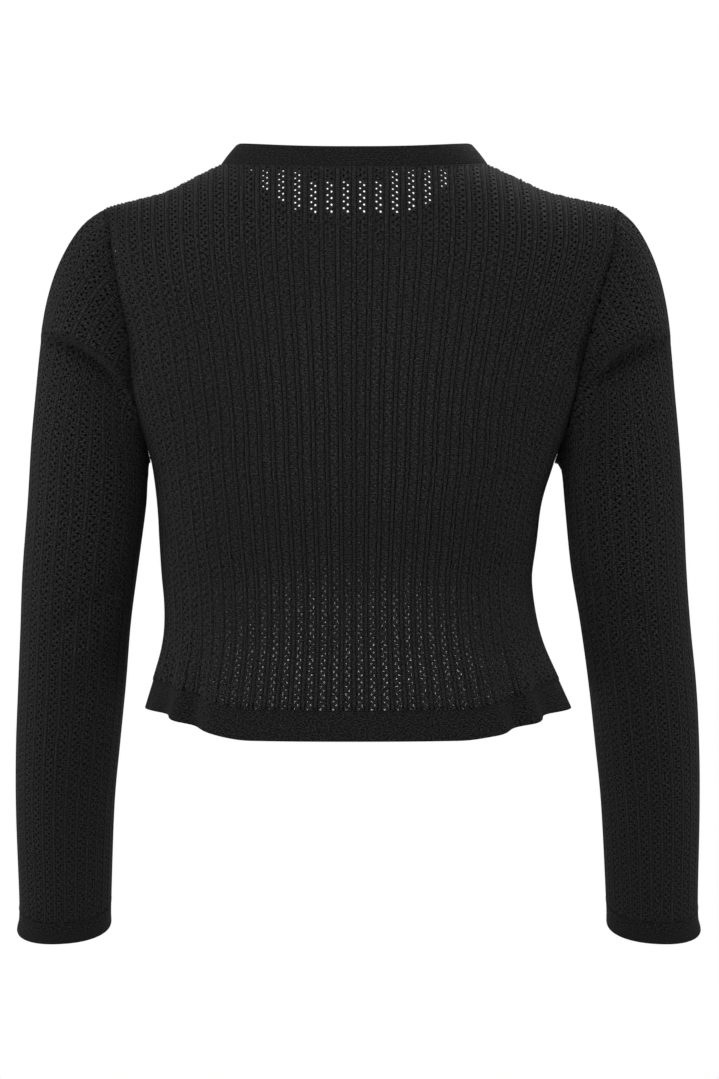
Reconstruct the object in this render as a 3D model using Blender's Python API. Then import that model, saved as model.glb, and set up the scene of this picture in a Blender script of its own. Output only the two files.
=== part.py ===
"""Short ribbed cardigan, worn and filled out, built as one cloth wall per sewn piece.

Axes: +Z up, the front faces -Y, the wearer's left is +X. The origin is in the middle of
the neck opening, level with the back neck seam. Sizes in the tables are millimetres.
"""
import math

import bmesh
import bpy
import numpy as np
from mathutils import Vector
from mathutils.geometry import delaunay_2d_cdt

MM = 0.001

# Knit and cloth
WALL = 1.8
BAND_WALL = 2.2
RIB_RAISE = 1.0
SEAM_GAP = 0.3
HALF_GAP = SEAM_GAP / 2
BODY_RIBS_HALF = 20.5
SLEEVE_RIBS = 27
SIDE_RIB_WIDTH = 10.4
RIB_STEP = 0.25
RIB_REACH = 21.5
FLAT_RIB = 8.0
FADE_LENGTH = 14.0
ARM_LINE_IN = 0.75
ARM_LINE_ROOM = 4.2
EDGE_ROOM = 2.4

# Body
HEM_BAND_HEIGHT = 23.0
HEM_BACK_LEVEL = -442.5
HEM_FRONT_LEVEL = -436.0
HEM_SIDE_LEVEL = -424.0
NECK_HALF_WIDTH = 106.0
NECK_BACK_DROP = 5.0
NECK_FRONT_DROP = 48.0
NECK_BAND_HEIGHT = 17.0
NECK_BAND_TAPER = 0.873
SHOULDER_TIP = 191.0
SHOULDER_SLOPE = 0.333
SHOULDER_ROUND = 100.0
RIDGE_ROUND = 30.0
UNDERARM_LEVEL = -232.0
UNDERARM_CLEARANCE = 2.6
SEAT_GAP = 0.45
SIDE_RIB = 20.0
SIDE_IN = HALF_GAP / SIDE_RIB_WIDTH

# Front opening, neck label and buttons
BAND_HALF_WIDTH = 12.0
BAND_LAYER = 2.0
BAND_LIFT = 1.25
BUTTON_COUNT = 7
BUTTON_RADIUS = 5.75
BUTTON_HEIGHT = 2.8
BUTTON_FROM_TOP = 8.5
BUTTON_FROM_HEM = 11.5
LABEL_WIDTH = 62.0
LABEL_HEIGHT = 14.0
LABEL_WALL = 0.8
LABEL_DROP = 2.0
LABEL_SHIFT = 7.0
LABEL_CLEARANCE = 0.7

# Level sections of the body
BODY = {
    "z": (-445, -425, -400, -372, -340, -325, -293, -261, -232, -200, -170, -135, -90, -60, -30, 0, 40),
    "half_width": (
        170, 167.5, 158.5, 149, 145, 145, 148, 151, 158,
        171, 182, 189, 200, 207, 207, 205, 200,
    ),
    "back_depth": (108, 107, 101, 93, 86, 84, 86, 91, 94, 96, 97, 96, 91, 86, 82, 78, 72),
    "front_depth": (112, 111, 107, 102, 98, 97, 102, 111, 118, 121, 119, 112, 100, 93, 88, 84, 78),
    "square": (2.4, 2.4, 2.45, 2.5, 2.6, 2.6, 2.7, 2.7, 2.65, 2.6, 2.6, 2.6, 2.6, 2.6, 2.6, 2.6, 2.6),
    "lean": (-3, -3, -1.5, 1, 4, 5.5, 4.7, 3.6, 1, 0, -0.5, -3.8, -5.5, -7.5, -6, -1, 0),
}
# Width of one rib repeat above the underarm, and how much the hem spreads at the sides
RIB_WIDTH = {
    "z": (-232, -198, -165, -135, -95, -60, -30, 0, 40),
    "width": (10.25, 10.4, 10.8, 11.3, 12.0, 12.5, 12.6, 12.6, 12.6),
}
HEM_SPREAD = {"z": (-445, -425, -380, -330, -232, 40), "spread": (0.11, 0.1, 0.06, 0.02, 0, 0)}
# Armhole seen from the side: distance behind or before the middle
ARMHOLE = {
    "z": (-232, -230, -224, -212, -194, -170, -140, -112, -85, -60, -42, -29),
    "back": (0, 7, 15, 26, 36, 42.5, 45, 43, 37, 28, 17, 0),
    "front": (0, 8, 17, 29, 40, 47.5, 50, 47, 40, 30, 18, 0),
}
# Soft flutes above the hem: rib number from the middle back or front, reach, depth, start level
FLUTES = (
    {"side": "back", "rib": 12.8, "reach": 0.95, "depth": -6.0, "start": -352},
    {"side": "back", "rib": 14.3, "reach": 0.9, "depth": 3.5, "start": -345},
    {"side": "back", "rib": 15.6, "reach": 0.9, "depth": -4.5, "start": -362},
    {"side": "back", "rib": 17.8, "reach": 1.3, "depth": 3.0, "start": -350},
    {"side": "back", "rib": -11.0, "reach": 0.9, "depth": 3.0, "start": -350},
    {"side": "back", "rib": -12.3, "reach": 0.9, "depth": -5.5, "start": -345},
    {"side": "back", "rib": -13.8, "reach": 0.9, "depth": 4.0, "start": -350},
    {"side": "back", "rib": -15.4, "reach": 0.95, "depth": -5.5, "start": -355},
    {"side": "back", "rib": -17.8, "reach": 1.3, "depth": 3.0, "start": -350},
    {"side": "front", "rib": 11.0, "reach": 1.3, "depth": -3.5, "start": -350},
    {"side": "front", "rib": 14.5, "reach": 1.4, "depth": 3.0, "start": -345},
    {"side": "front", "rib": -10.0, "reach": 1.3, "depth": 3.0, "start": -350},
    {"side": "front", "rib": -13.5, "reach": 1.3, "depth": -3.5, "start": -345},
)
ARM_LEVELS = tuple(-232 + 203 * (1 - math.cos(math.pi * k / 60)) / 2 for k in range(61))
BODY_COURSES = (40, 82, 128, 176, 224, 270, 314, 354, 388, 416, 438, 456)

# Sleeve rings from the armhole to the cuff seam, then to the cuff edge
SLEEVE = {
    "ring": (0, 1, 2, 3, 4, 5, 6, 7, 8, 9, 10, 11, 12, 13, 14, 15, 16),
    "out_x": (
        191, 200, 212, 224, 234.5, 242.5, 248, 252, 255.5,
        258.5, 262, 265.5, 270.5, 274.2, 276, 276.5, 279.4,
    ),
    "out_z": (
        -29, -33.5, -43, -59, -80, -106, -138, -175, -215,
        -262, -315, -362, -412, -462, -514, -594, -614,
    ),
    "in_x": (
        160.5, 161.3, 162, 162.6, 163, 163.3, 163.6, 164, 164.6,
        166, 171.5, 178.5, 184.8, 191, 197, 202, 202.6,
    ),
    "in_z": (
        -231.5, -232, -233, -234.5, -236, -238, -240, -243, -249,
        -268, -315, -360, -409, -459, -511, -590, -609.5,
    ),
    "middle_y": (0, 0, 0, 0, 0, 0, 0, 0, 0, 0, -2, -12, -31, -50, -70, -98, -106),
    "depth": (46, 49, 51, 53, 54, 54, 53.5, 52, 51, 49.5, 47, 44.5, 43, 41, 37.5, 32, 31.5),
    "tilt": (0, 0, 0, 0, 0, 0, 0, 0, 0, 0, 6, 16, 21, 21, 21, 21, 21),
    "lean": (-1, -1, -1, -1, -1, -1, -1, -1, -1, -1.2, -0.4, -1.2, -2.6, -2.9, -3.1, -3.8, -4),
    "seat": (1, 0.8, 0.6, 0.42, 0.27, 0.15, 0.06, 0, 0, 0, 0, 0, 0, 0, 0, 0, 0),
    "shear": (0.07, 0.06, 0.05, 0.04, 0.03, 0.02, 0.01, 0, 0, 0, 0, 0, 0, 0, 0, 0, 0),
}
SLEEVE_RINGS = (0, 0.9, 1.9, 3, 4.2, 5.6, 7.2, 9, 10.2, 11.4, 12.7, 14, 15)
CUFF_RINGS = (15, 15.5, 16)
SLEEVE_SHARES = np.arange(SLEEVE_RIBS + 1) / SLEEVE_RIBS
COLUMN_SHARES = SLEEVE_SHARES - SLEEVE["shear"][0] * np.sin(math.pi * SLEEVE_SHARES)
# Crease across the upper arm: line in the XZ plane, ridge above it, trough below it
ARM_FOLD = {
    "x": 200.0,
    "z": -145.0,
    "slope": 42.0,
    "reach": 13.0,
    "half_length": 34.0,
    "back": 8.5,
    "front": 6.0,
}


def smooth(rows, column, at, key="z"):
    """Reads a table column with soft curves between its rows."""
    x = np.array(rows[key], float)
    y = np.array(rows[column], float)
    step = np.diff(x)
    slope = np.diff(y) / step
    tangent = np.empty_like(y)
    tangent[1:-1] = (slope[:-1] * step[1:] + slope[1:] * step[:-1]) / (step[:-1] + step[1:])
    tangent[0] = slope[0]
    tangent[-1] = slope[-1]
    at = np.clip(np.asarray(at, float), x[0], x[-1])
    i = np.clip(np.searchsorted(x, at, side="right") - 1, 0, len(x) - 2)
    h = step[i]
    u = (at - x[i]) / h
    a = y[i] * (1 + 2 * u) * (1 - u) ** 2 + y[i + 1] * u * u * (3 - 2 * u)
    b = h * (tangent[i] * u * (1 - u) ** 2 - tangent[i + 1] * u * u * (1 - u))
    return a + b


def ease(value):
    """Soft step from 0 to 1."""
    value = np.clip(value, 0, 1)
    return value * value * (3 - 2 * value)


def ridge_level(x):
    """Level of the shoulder line, carried on softly over the neck opening."""
    away = np.hypot(np.asarray(x, float), RIDGE_ROUND)
    return -SHOULDER_SLOPE * (away - math.hypot(NECK_HALF_WIDTH, RIDGE_ROUND))


class BodyHalf:
    """Back or front half of the body surface, by rib number and height of knitting."""

    LEVELS = np.linspace(BODY["z"][0], BODY["z"][-1], 195)
    ANGLES = np.linspace(0, math.pi / 2, 161)
    PATH = np.sin(np.linspace(0, math.pi / 2, 120))

    def __init__(self, side):
        self.side = side
        self.sign = 1 if side == "back" else -1
        self.measure_sections()
        self.ribs = np.arange(-RIB_REACH, RIB_REACH + RIB_STEP / 2, RIB_STEP)
        paths = [self.column(rib) for rib in self.ribs]
        self.points = np.array([p for p, _ in paths])
        self.heights = np.array([t for _, t in paths])

    def measure_sections(self):
        a = smooth(BODY, "half_width", self.LEVELS)[:, None]
        b = smooth(BODY, self.side + "_depth", self.LEVELS)[:, None]
        n = smooth(BODY, "square", self.LEVELS)[:, None]
        s, c = np.sin(self.ANGLES), np.cos(self.ANGLES)
        r = ((s / a) ** n + (c / b) ** n) ** (-1 / n)
        x, y = r * s, r * c
        run = np.hypot(np.diff(x, axis=1), np.diff(y, axis=1))
        self.arc = np.concatenate([np.zeros((len(x), 1)), np.cumsum(run, axis=1)], axis=1)
        self.x, self.y = x, y

    def level_place(self, z):
        """Level just below a height, and the share of the way to the next one."""
        last = len(self.LEVELS) - 1
        where = (z - self.LEVELS[0]) / (self.LEVELS[-1] - self.LEVELS[0]) * last
        where = min(max(where, 0.0), last - 0.001)
        return int(where), where - int(where)

    def rib_place(self, rib):
        """Index of the rib column just below a rib number, with its fraction."""
        return np.clip((rib + RIB_REACH) / RIB_STEP, 0, len(self.ribs) - 1.001)

    def level_row(self, z, rib):
        """Point of one rib on one level: x and distance from the middle plane."""
        low, mix = self.level_place(z)
        total = self.arc[low, -1] * (1 - mix) + self.arc[low + 1, -1] * mix
        if z <= UNDERARM_LEVEL:
            share = abs(rib) / BODY_RIBS_HALF
            spread = float(smooth(HEM_SPREAD, "spread", z, "z"))
            reach = total * (share * (1 - spread) + spread * share**3)
        else:
            scale = self.arc_at_underarm() / BODY_RIBS_HALF / RIB_WIDTH["width"][0]
            fade = ease((z - UNDERARM_LEVEL) / 120)
            width = float(smooth(RIB_WIDTH, "width", z)) * (scale * (1 - fade) + fade)
            reach = abs(rib) * width
        xs = [np.interp(reach, self.arc[k], self.x[k]) for k in (low, low + 1)]
        ys = [np.interp(reach, self.arc[k], self.y[k]) for k in (low, low + 1)]
        return xs[0] * (1 - mix) + xs[1] * mix, ys[0] * (1 - mix) + ys[1] * mix

    def arc_at_underarm(self):
        low, mix = self.level_place(UNDERARM_LEVEL)
        return self.arc[low, -1] * (1 - mix) + self.arc[low + 1, -1] * mix

    def place(self, z, rib):
        """Surface point for a level and a rib."""
        x, y = self.level_row(z, rib)
        depth = min(1.0, max(0.0, (float(ridge_level(x)) - z) / SHOULDER_ROUND))
        y *= math.sqrt(1 - (1 - depth) ** 2)
        a = float(smooth(BODY, "half_width", z))
        b = float(smooth(BODY, self.side + "_depth", z))
        out = Vector((x / a**2, y / b**2)).normalized()
        push = 0.0
        for flute in FLUTES:
            if flute["side"] == self.side and z < flute["start"]:
                far = (rib - flute["rib"]) / flute["reach"]
                fall = float(ease((flute["start"] - z) / (flute["start"] + 430)))
                push += flute["depth"] * fall * math.exp(-far * far)
        x += out.x * push
        y += out.y * push
        hand = 1 if rib >= 0 else -1
        return (hand * x + float(smooth(BODY, "lean", z)) * min(1.0, x / a) ** 2, self.sign * y, z)

    def hem_level(self, rib):
        share = min(1.0, abs(rib) / BODY_RIBS_HALF)
        low = HEM_BACK_LEVEL if self.side == "back" else HEM_FRONT_LEVEL
        return low + HEM_BAND_HEIGHT + (HEM_SIDE_LEVEL - low) * float(ease((share - 0.38) / 0.5))

    def column(self, rib):
        """One rib from the hem seam up to the shoulder line, with its height of knitting."""
        start = self.hem_level(rib)
        top = 0.0
        for _ in range(24):
            x, _y = self.level_row(top, rib)
            top = 0.5 * top + 0.5 * min(38.0, float(ridge_level(x)))
        points = np.array([self.place(start + (top - start) * q, rib) for q in self.PATH])
        run = np.linalg.norm(np.diff(points, axis=0), axis=1)
        return points, np.concatenate([[0], np.cumsum(run)])

    def at(self, rib, height):
        """Surface points at rib numbers and heights of knitting."""
        rib = np.atleast_1d(np.asarray(rib, float))
        height = np.broadcast_to(np.asarray(height, float), rib.shape)
        where = self.rib_place(rib)
        low = where.astype(int)
        mix = (where - low)[:, None]
        ends = []
        for shift in (0, 1):
            found = np.empty((len(rib), 3))
            for index in np.unique(low):
                here = low == index
                t = self.heights[index + shift]
                p = self.points[index + shift]
                for axis in range(3):
                    found[here, axis] = np.interp(height[here], t, p[:, axis])
                below = here & (height < 0)
                if below.any():
                    step = (p[0] - p[1]) / (t[1] - t[0])
                    found[below] = p[0] - step * height[below][:, None]
            ends.append(found)
        return ends[0] * (1 - mix) + ends[1] * mix

    def normals(self, rib, height):
        """Outward directions of the surface."""
        d = self.at(rib + 0.2, height) - self.at(rib - 0.2, height)
        e = self.at(rib, np.asarray(height) + 1.5) - self.at(rib, np.asarray(height) - 1.5)
        n = np.cross(d, e) * self.sign
        return n / np.linalg.norm(n, axis=1)[:, None] * -1

    def height_at_level(self, rib, level):
        """Height of knitting at which a rib passes a level."""
        where = float(self.rib_place(rib))
        low = int(where)
        mix = where - low
        found = [np.interp(level, self.points[k][:, 2], self.heights[k]) for k in (low, low + 1)]
        return found[0] * (1 - mix) + found[1] * mix

    def rib_at(self, level, depth):
        """Rib number where a level has the given distance from the middle plane."""
        low, high = 8.0, RIB_REACH
        for _ in range(40):
            rib = (low + high) / 2
            if abs(self.place(level, rib)[1]) > depth:
                low = rib
            else:
                high = rib
        return (low + high) / 2

    def rib_at_x(self, level, x):
        """Rib number where a level has the given x, before its lean."""
        low, high = 0.0, RIB_REACH
        for _ in range(40):
            rib = (low + high) / 2
            if self.level_row(level, rib)[0] < x:
                low = rib
            else:
                high = rib
        return (low + high) / 2

    def armhole(self):
        """Armhole from the underarm to the shoulder tip, a rib number and level per sleeve column."""
        line = []
        for level in ARM_LEVELS:
            depth = float(smooth({"z": ARMHOLE["z"], "v": ARMHOLE[self.side]}, "v", level))
            if level == ARM_LEVELS[0]:
                line.append((BODY_RIBS_HALF, level))
            elif level == ARM_LEVELS[-1]:
                level = float(ridge_level(SHOULDER_TIP))
                line.append((self.rib_at_x(level, SHOULDER_TIP), level))
            else:
                line.append((self.rib_at(level, depth), level))
        points = np.array([self.place(level, rib) for rib, level in line])
        run = np.concatenate([[0], np.cumsum(np.linalg.norm(np.diff(points, axis=0), axis=1))])
        line = np.array(line)
        where = (1 - COLUMN_SHARES[::-1]) * run[-1]
        edge = []
        for w in where:
            rib = float(np.interp(w, run, line[:, 0]))
            edge.append((rib, float(self.height_at_level(rib, float(np.interp(w, run, line[:, 1]))))))
        edge[-1] = (edge[-1][0], self.top_height(edge[-1][0]))
        return edge

    def top_height(self, rib):
        """Height of knitting at the shoulder line."""
        return float(np.interp(rib, self.ribs, self.heights[:, -1]))

    def neck_level(self, x):
        drop = NECK_BACK_DROP if self.side == "back" else NECK_FRONT_DROP
        return -drop * (1 - min(1.0, abs(x) / NECK_HALF_WIDTH) ** 2.2)

    def neck_height(self, rib):
        """Height of knitting where a rib meets the neck seam."""
        low = self.height_at_level(rib, -70.0)
        high = self.height_at_level(rib, 36.0)
        for _ in range(40):
            t = (low + high) / 2
            p = self.at(rib, t)[0]
            if p[2] < self.neck_level(p[0]):
                low = t
            else:
                high = t
        return (low + high) / 2


def new_material(name, colour, rough):
    material = bpy.data.materials.new(name)
    material.use_nodes = True
    shader = material.node_tree.nodes["Principled BSDF"]
    shader.inputs["Base Color"].default_value = (*colour, 1)
    shader.inputs["Roughness"].default_value = rough
    material.diffuse_color = (*colour, 1)
    return material


def make_solid(name, points, faces, material):
    """Turns points in millimetres and faces into one named closed solid."""
    mesh = bpy.data.meshes.new(name)
    mesh.from_pydata([tuple(float(v) * MM for v in p) for p in points], [], [tuple(f) for f in faces])
    shape = bmesh.new()
    shape.from_mesh(mesh)
    bmesh.ops.triangulate(shape, faces=shape.faces[:])
    bmesh.ops.recalc_face_normals(shape, faces=shape.faces[:])
    shape.to_mesh(mesh)
    shape.free()
    mesh.polygons.foreach_set("use_smooth", [True] * len(mesh.polygons))
    mesh.materials.append(material)
    item = bpy.data.objects.new(name, mesh)
    parts.objects.link(item)
    return item


def fill_outline(outline, inside, columns):
    """Fills a flat outline with triangles that pass through the inside points."""
    flat = [Vector((p[0] * FLAT_RIB, p[1])) for p in outline + inside]
    count = len(outline)
    edges = [(i, (i + 1) % count) for i in range(count)]
    edges += [(a + count, b + count) for a, b in columns]
    found = delaunay_2d_cdt(flat, edges, [list(range(count))], 1, 1e-5)
    source = [ids[0] for ids in found[3]]
    return [[source[i] for i in face] for face in found[2]]


def room_inside(outline, rib, height):
    """Distance from a flat point to an outline, negative outside it."""
    a = np.array(outline) * (FLAT_RIB, 1.0)
    b = np.roll(a, -1, axis=0)
    p = np.array([rib * FLAT_RIB, height])
    run = b - a
    share = np.clip(np.sum((p - a) * run, axis=1) / np.sum(run * run, axis=1), 0, 1)
    far = np.min(np.linalg.norm(a + run * share[:, None] - p, axis=1))
    crossed = (a[:, 1] > p[1]) != (b[:, 1] > p[1])
    at = a[:, 0] + (p[1] - a[:, 1]) / np.where(run[:, 1] == 0, 1e-9, run[:, 1]) * run[:, 0]
    inside = np.count_nonzero(crossed & (p[0] < at)) % 2 == 1
    return far if inside else -far


def fade_near(points, edge):
    """0 on an edge line, 1 once a point is well away from it."""
    edge = np.asarray(edge)
    far = np.min(np.linalg.norm(points[:, None, :] - edge[None, :, :], axis=2), axis=1)
    return ease(far / FADE_LENGTH)


def knit_panel(name, half, outline, arm_edge, first, last):
    """Ribbed wall inside a flat outline of rib numbers and heights."""
    border = np.array(outline)
    walls = []
    for step, raise_by, drop in ((0.5, RIB_RAISE, 0.0), (1.0, 0.0, WALL)):
        inside, columns = [], []
        for hand in (1, -1):
            for rib, height in half.edge[2:-1:2]:
                spot = (hand * (rib - ARM_LINE_IN), height - 2.0)
                if first < spot[0] < last:
                    inside.append(spot)
        beside = len(inside)
        for rib in half_ribs(first, last):
            if step == 1.0 and rib % 1.0 > 0.01:
                continue
            previous = None
            for height in BODY_COURSES:
                steps = [math.hypot((rib - r) * FLAT_RIB, height - t) for r, t in inside[:beside]]
                near_line = min(steps, default=ARM_LINE_ROOM) < ARM_LINE_ROOM
                if near_line or room_inside(outline, rib, height) < EDGE_ROOM:
                    previous = None
                    continue
                inside.append((float(rib), float(height)))
                if previous is not None and abs(rib) < 15:
                    columns.append((previous, len(inside) - 1))
                previous = len(inside) - 1
        spots = np.array(list(outline) + inside)
        base = half.at(spots[:, 0], spots[:, 1])
        out = half.normals(spots[:, 0], spots[:, 1])
        crest = 0.5 + 0.5 * np.cos(2 * math.pi * spots[:, 0])
        lift = raise_by * crest * fade_near(base, arm_edge) - drop
        walls.append((base + out * lift[:, None], fill_outline(list(outline), inside, columns)))
    outer, inner = walls
    count = len(outer[0])
    faces = [list(f) for f in outer[1]]
    faces += [[i + count for i in reversed(f)] for f in inner[1]]
    n = len(border)
    for i in range(n):
        j = (i + 1) % n
        faces.append([i, j, j + count, i + count])
    return make_solid(name, np.vstack([outer[0], inner[0]]), faces, knit)


def panel_top(half, rib):
    """Height of knitting at the neck or shoulder edge of a rib."""
    return half.neck_height(rib) if abs(rib) < half.neck_rib else half.top_height(rib)


def half_ribs(first, last):
    """Rib numbers in steps of one half between two ribs."""
    return np.arange(math.ceil(first * 2), math.floor(last * 2) + 1) * 0.5


def body_outline(half, first, last):
    """Border of a panel, anticlockwise in rib numbers and heights, pulled in at its seams."""
    left, right = first, last
    if first < -SIDE_RIB:
        left = first + SIDE_IN
    if last > SIDE_RIB:
        right = last - SIDE_IN
    ribs = [float(r) for r in half_ribs(first, last)]
    inner = [r for r in ribs if left + 0.2 < r < right - 0.2]
    low_edge = {left: edge_line(half, left, HALF_GAP), right: edge_line(half, right, HALF_GAP)}
    border = [(low_edge[left], HALF_GAP)]
    border += [(r, HALF_GAP) for r in inner]
    border.append((low_edge[right], HALF_GAP))
    border += side_edge(half, right, 1) if last > SIDE_RIB else front_edge(half, right, 1)
    tip = half.edge[-1][0]
    for r in reversed(inner):
        if abs(r) < tip - 0.12:
            border.append((r, float(panel_top(half, r)) - HALF_GAP))
    border += side_edge(half, left, -1) if first < -SIDE_RIB else front_edge(half, left, -1)
    return border


def edge_line(half, rib, height):
    """Rib number of an edge at a height: side seams keep theirs, front edges run straight."""
    if abs(rib) > SIDE_RIB:
        return rib
    return math.copysign(edge_rib(half, height, BAND_HALF_WIDTH + SEAM_GAP), rib)


def edge_rib(half, height, x_wanted):
    """Rib number that lies at an x, before the lean, at a height of knitting."""
    low, high = 0.0, 4.0
    for _ in range(40):
        rib = (low + high) / 2
        p = half.at(rib, height)[0]
        if p[0] < x_wanted:
            low = rib
        else:
            high = rib
    return (low + high) / 2


def front_edge(half, rib, order):
    """Straight front edge beside the button bands, up or down."""
    top = half.neck_height(rib) - HALF_GAP
    heights = [float(h) for h in BODY_COURSES if h < top - 9] + [top]
    line = [(edge_line(half, rib, h), h) for h in heights]
    return line if order > 0 else list(reversed(line))


def side_edge(half, rib, hand):
    """Side seam and armhole edge, from the hem up on the wearer's left, down on the right."""
    seam = [(rib, float(h)) for h in BODY_COURSES if h < half.edge[0][1] - 12]
    arm = [(hand * min(r, abs(rib)), t - HALF_GAP) for r, t in half.edge]
    line = seam + arm
    return line if hand > 0 else list(reversed(line))


def prepare_half(side):
    """Body half with its armhole, neck corner and top limits worked out once."""
    half = BodyHalf(side)
    half.edge = half.armhole()
    half.neck_rib = half.rib_at_x(0.0, NECK_HALF_WIDTH)
    return half


def strip_solid(name, rows, inner_rows, closed, material):
    """Wall between an outer and an inner grid of rows; closed joins the row ends."""
    rows = np.asarray(rows)
    inner_rows = np.asarray(inner_rows)
    n_rows, n_cols = rows.shape[:2]
    m_cols = inner_rows.shape[1]
    points = np.vstack([rows.reshape(-1, 3), inner_rows.reshape(-1, 3)])
    shift = n_rows * n_cols
    faces = []
    span = n_cols if closed else n_cols - 1
    inner_span = m_cols if closed else m_cols - 1
    for r in range(n_rows - 1):
        for c in range(span):
            d = (c + 1) % n_cols
            faces.append([r * n_cols + c, r * n_cols + d, (r + 1) * n_cols + d, (r + 1) * n_cols + c])
        for c in range(inner_span):
            d = (c + 1) % m_cols
            a = shift + r * m_cols
            b = shift + (r + 1) * m_cols
            faces.append([a + d, a + c, b + c, b + d])
    ratio = span // inner_span
    for r in (0, n_rows - 1):
        for c in range(inner_span):
            d = (c + 1) % m_cols
            outer = [r * n_cols + (c * ratio + k) % n_cols for k in range(ratio + 1)]
            i, j = shift + r * m_cols + c, shift + r * m_cols + d
            for k in range(ratio):
                near = i if k < (ratio + 1) // 2 else j
                faces.append([outer[k], outer[k + 1], near])
            middle = outer[(ratio + 1) // 2]
            faces.append([i, j, middle])
    if not closed:
        for r in range(n_rows - 1):
            for c, m in ((0, 0), (n_cols - 1, m_cols - 1)):
                a = shift + r * m_cols + m
                faces.append([r * n_cols + c, (r + 1) * n_cols + c, a + m_cols, a])
    return make_solid(name, points, faces, material)


def grid_normals(rows, closed):
    """Directions across a grid of points, to the left of its rows as they rise."""
    rows = np.asarray(rows)
    if closed:
        along = np.roll(rows, -1, axis=1) - np.roll(rows, 1, axis=1)
    else:
        along = np.gradient(rows, axis=1)
    up = np.gradient(rows, axis=0)
    n = np.cross(along, up)
    return n / np.linalg.norm(n, axis=2)[:, :, None]


class Sleeve:
    """Sleeve surface by ring number and share of the way round, from the top over the back."""

    def __init__(self, hand, halves):
        self.hand = hand
        self.seat = []
        self.seat_out = []
        for half in halves:
            edge = list(reversed(half.edge))
            points = half.at([hand * rib for rib, _ in edge], [t for _, t in edge])
            run = np.gradient(points, axis=0)
            line, facing = [], []
            for (rib, t), p, along in zip(edge, points, run):
                level = p[2]
                below = t - 1.5 if t > half.top_height(rib) - 2 else t
                normal = half.normals(np.array([hand * rib]), np.array([below]))[0]
                away = np.cross(along, normal)
                away /= np.linalg.norm(away)
                if np.dot(away, np.array([hand * 240.0, 0, -130.0]) - p) < 0:
                    away = -away
                turn = float(ease((level - UNDERARM_LEVEL) / 40))
                step = away * SEAT_GAP * turn + np.array([hand, 0, 0]) * UNDERARM_CLEARANCE * (1 - turn)
                line.append(p + step)
                facing.append(normal * turn)
            fine = np.linspace(0, 1, 129)
            for store, rows in ((self.seat, np.array(line)), (self.seat_out, np.array(facing))):
                columns = [smooth({"z": COLUMN_SHARES, "v": rows[:, k]}, "v", fine) for k in range(3)]
                store.append(np.stack(columns, axis=1))

    @staticmethod
    def even(line, count):
        run = np.concatenate([[0], np.cumsum(np.linalg.norm(np.diff(line, axis=0), axis=1))])
        fine = np.linspace(0, run[-1], count)
        return np.stack([np.interp(fine, run, line[:, k]) for k in range(3)], axis=1)

    def oval(self, ring, side):
        """Half of one ring from its outer point round the back or the front to its inner one."""
        row = {k: float(smooth(SLEEVE, k, ring, "ring")) for k in SLEEVE if k != "ring"}
        angle = np.linspace(0, math.pi, 129)
        outer = np.array([row["out_x"], 0, row["out_z"]])
        inner = np.array([row["in_x"], 0, row["in_z"]])
        middle = (outer + inner) / 2 + np.array([0, row["middle_y"], 0])
        half = (outer - inner) / 2
        tilt = math.radians(row["tilt"])
        deep = np.array([0, math.cos(tilt), -math.sin(tilt)]) * row["depth"] * (1 if side == 0 else -1)
        n = 2.25
        c, s = np.cos(angle), np.sin(angle)
        r = (np.abs(c) ** n + s**n) ** (-1 / n)
        line = middle + half * (r * c)[:, None] + deep * (r * s)[:, None]
        line[:, 0] = line[:, 0] * self.hand + row["lean"]
        return self.even(line, 129), row

    def ring(self, ring, shares):
        """Points of one ring at shares of the way round."""
        out = np.empty((len(shares), 3))
        for side in (0, 1):
            here = (shares <= 0.5) if side == 0 else (shares > 0.5)
            line, row = self.oval(ring, side)
            start, _ = self.oval(0, side)
            line = line + (self.seat[side] - start) * row["seat"]
            u = 2 * shares[here] if side == 0 else 2 * (1 - shares[here])
            u = u - row["shear"] * np.sin(math.pi * u)
            for k in range(3):
                out[here, k] = np.interp(u, np.linspace(0, 1, 129), line[:, k])
        return out

    def seat_directions(self, shares):
        """Directions of the panels at the armhole, shorter towards the underarm."""
        out = np.empty((len(shares), 3))
        for side in (0, 1):
            here = (shares <= 0.5) if side == 0 else (shares > 0.5)
            u = 2 * shares[here] if side == 0 else 2 * (1 - shares[here])
            u = u - SLEEVE["shear"][0] * np.sin(math.pi * u)
            for k in range(3):
                out[here, k] = np.interp(u, np.linspace(0, 1, 129), self.seat_out[side][:, k])
        return out

    def fold(self, points, normals, rings):
        """Pushes the crease across the upper arm out above its line and in below it."""
        slope = math.radians(ARM_FOLD["slope"])
        x = points[..., 0] * self.hand - ARM_FOLD["x"]
        z = points[..., 2] - ARM_FOLD["z"]
        along = x * math.cos(slope) + z * math.sin(slope)
        across = -x * math.sin(slope) + z * math.cos(slope)
        wave = across / ARM_FOLD["reach"]
        amount = wave * np.exp(0.5 - wave * wave * 0.5)
        weight = np.exp(-((along / ARM_FOLD["half_length"]) ** 4))
        back = np.clip(normals[..., 1], 0, 1) * ARM_FOLD["back"]
        front = np.clip(-normals[..., 1], 0, 1) * ARM_FOLD["front"]
        start = ease(np.asarray(rings, float) / 3.2)[:, None]
        return points + normals * (start * amount * weight * (back + front))[..., None]


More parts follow.
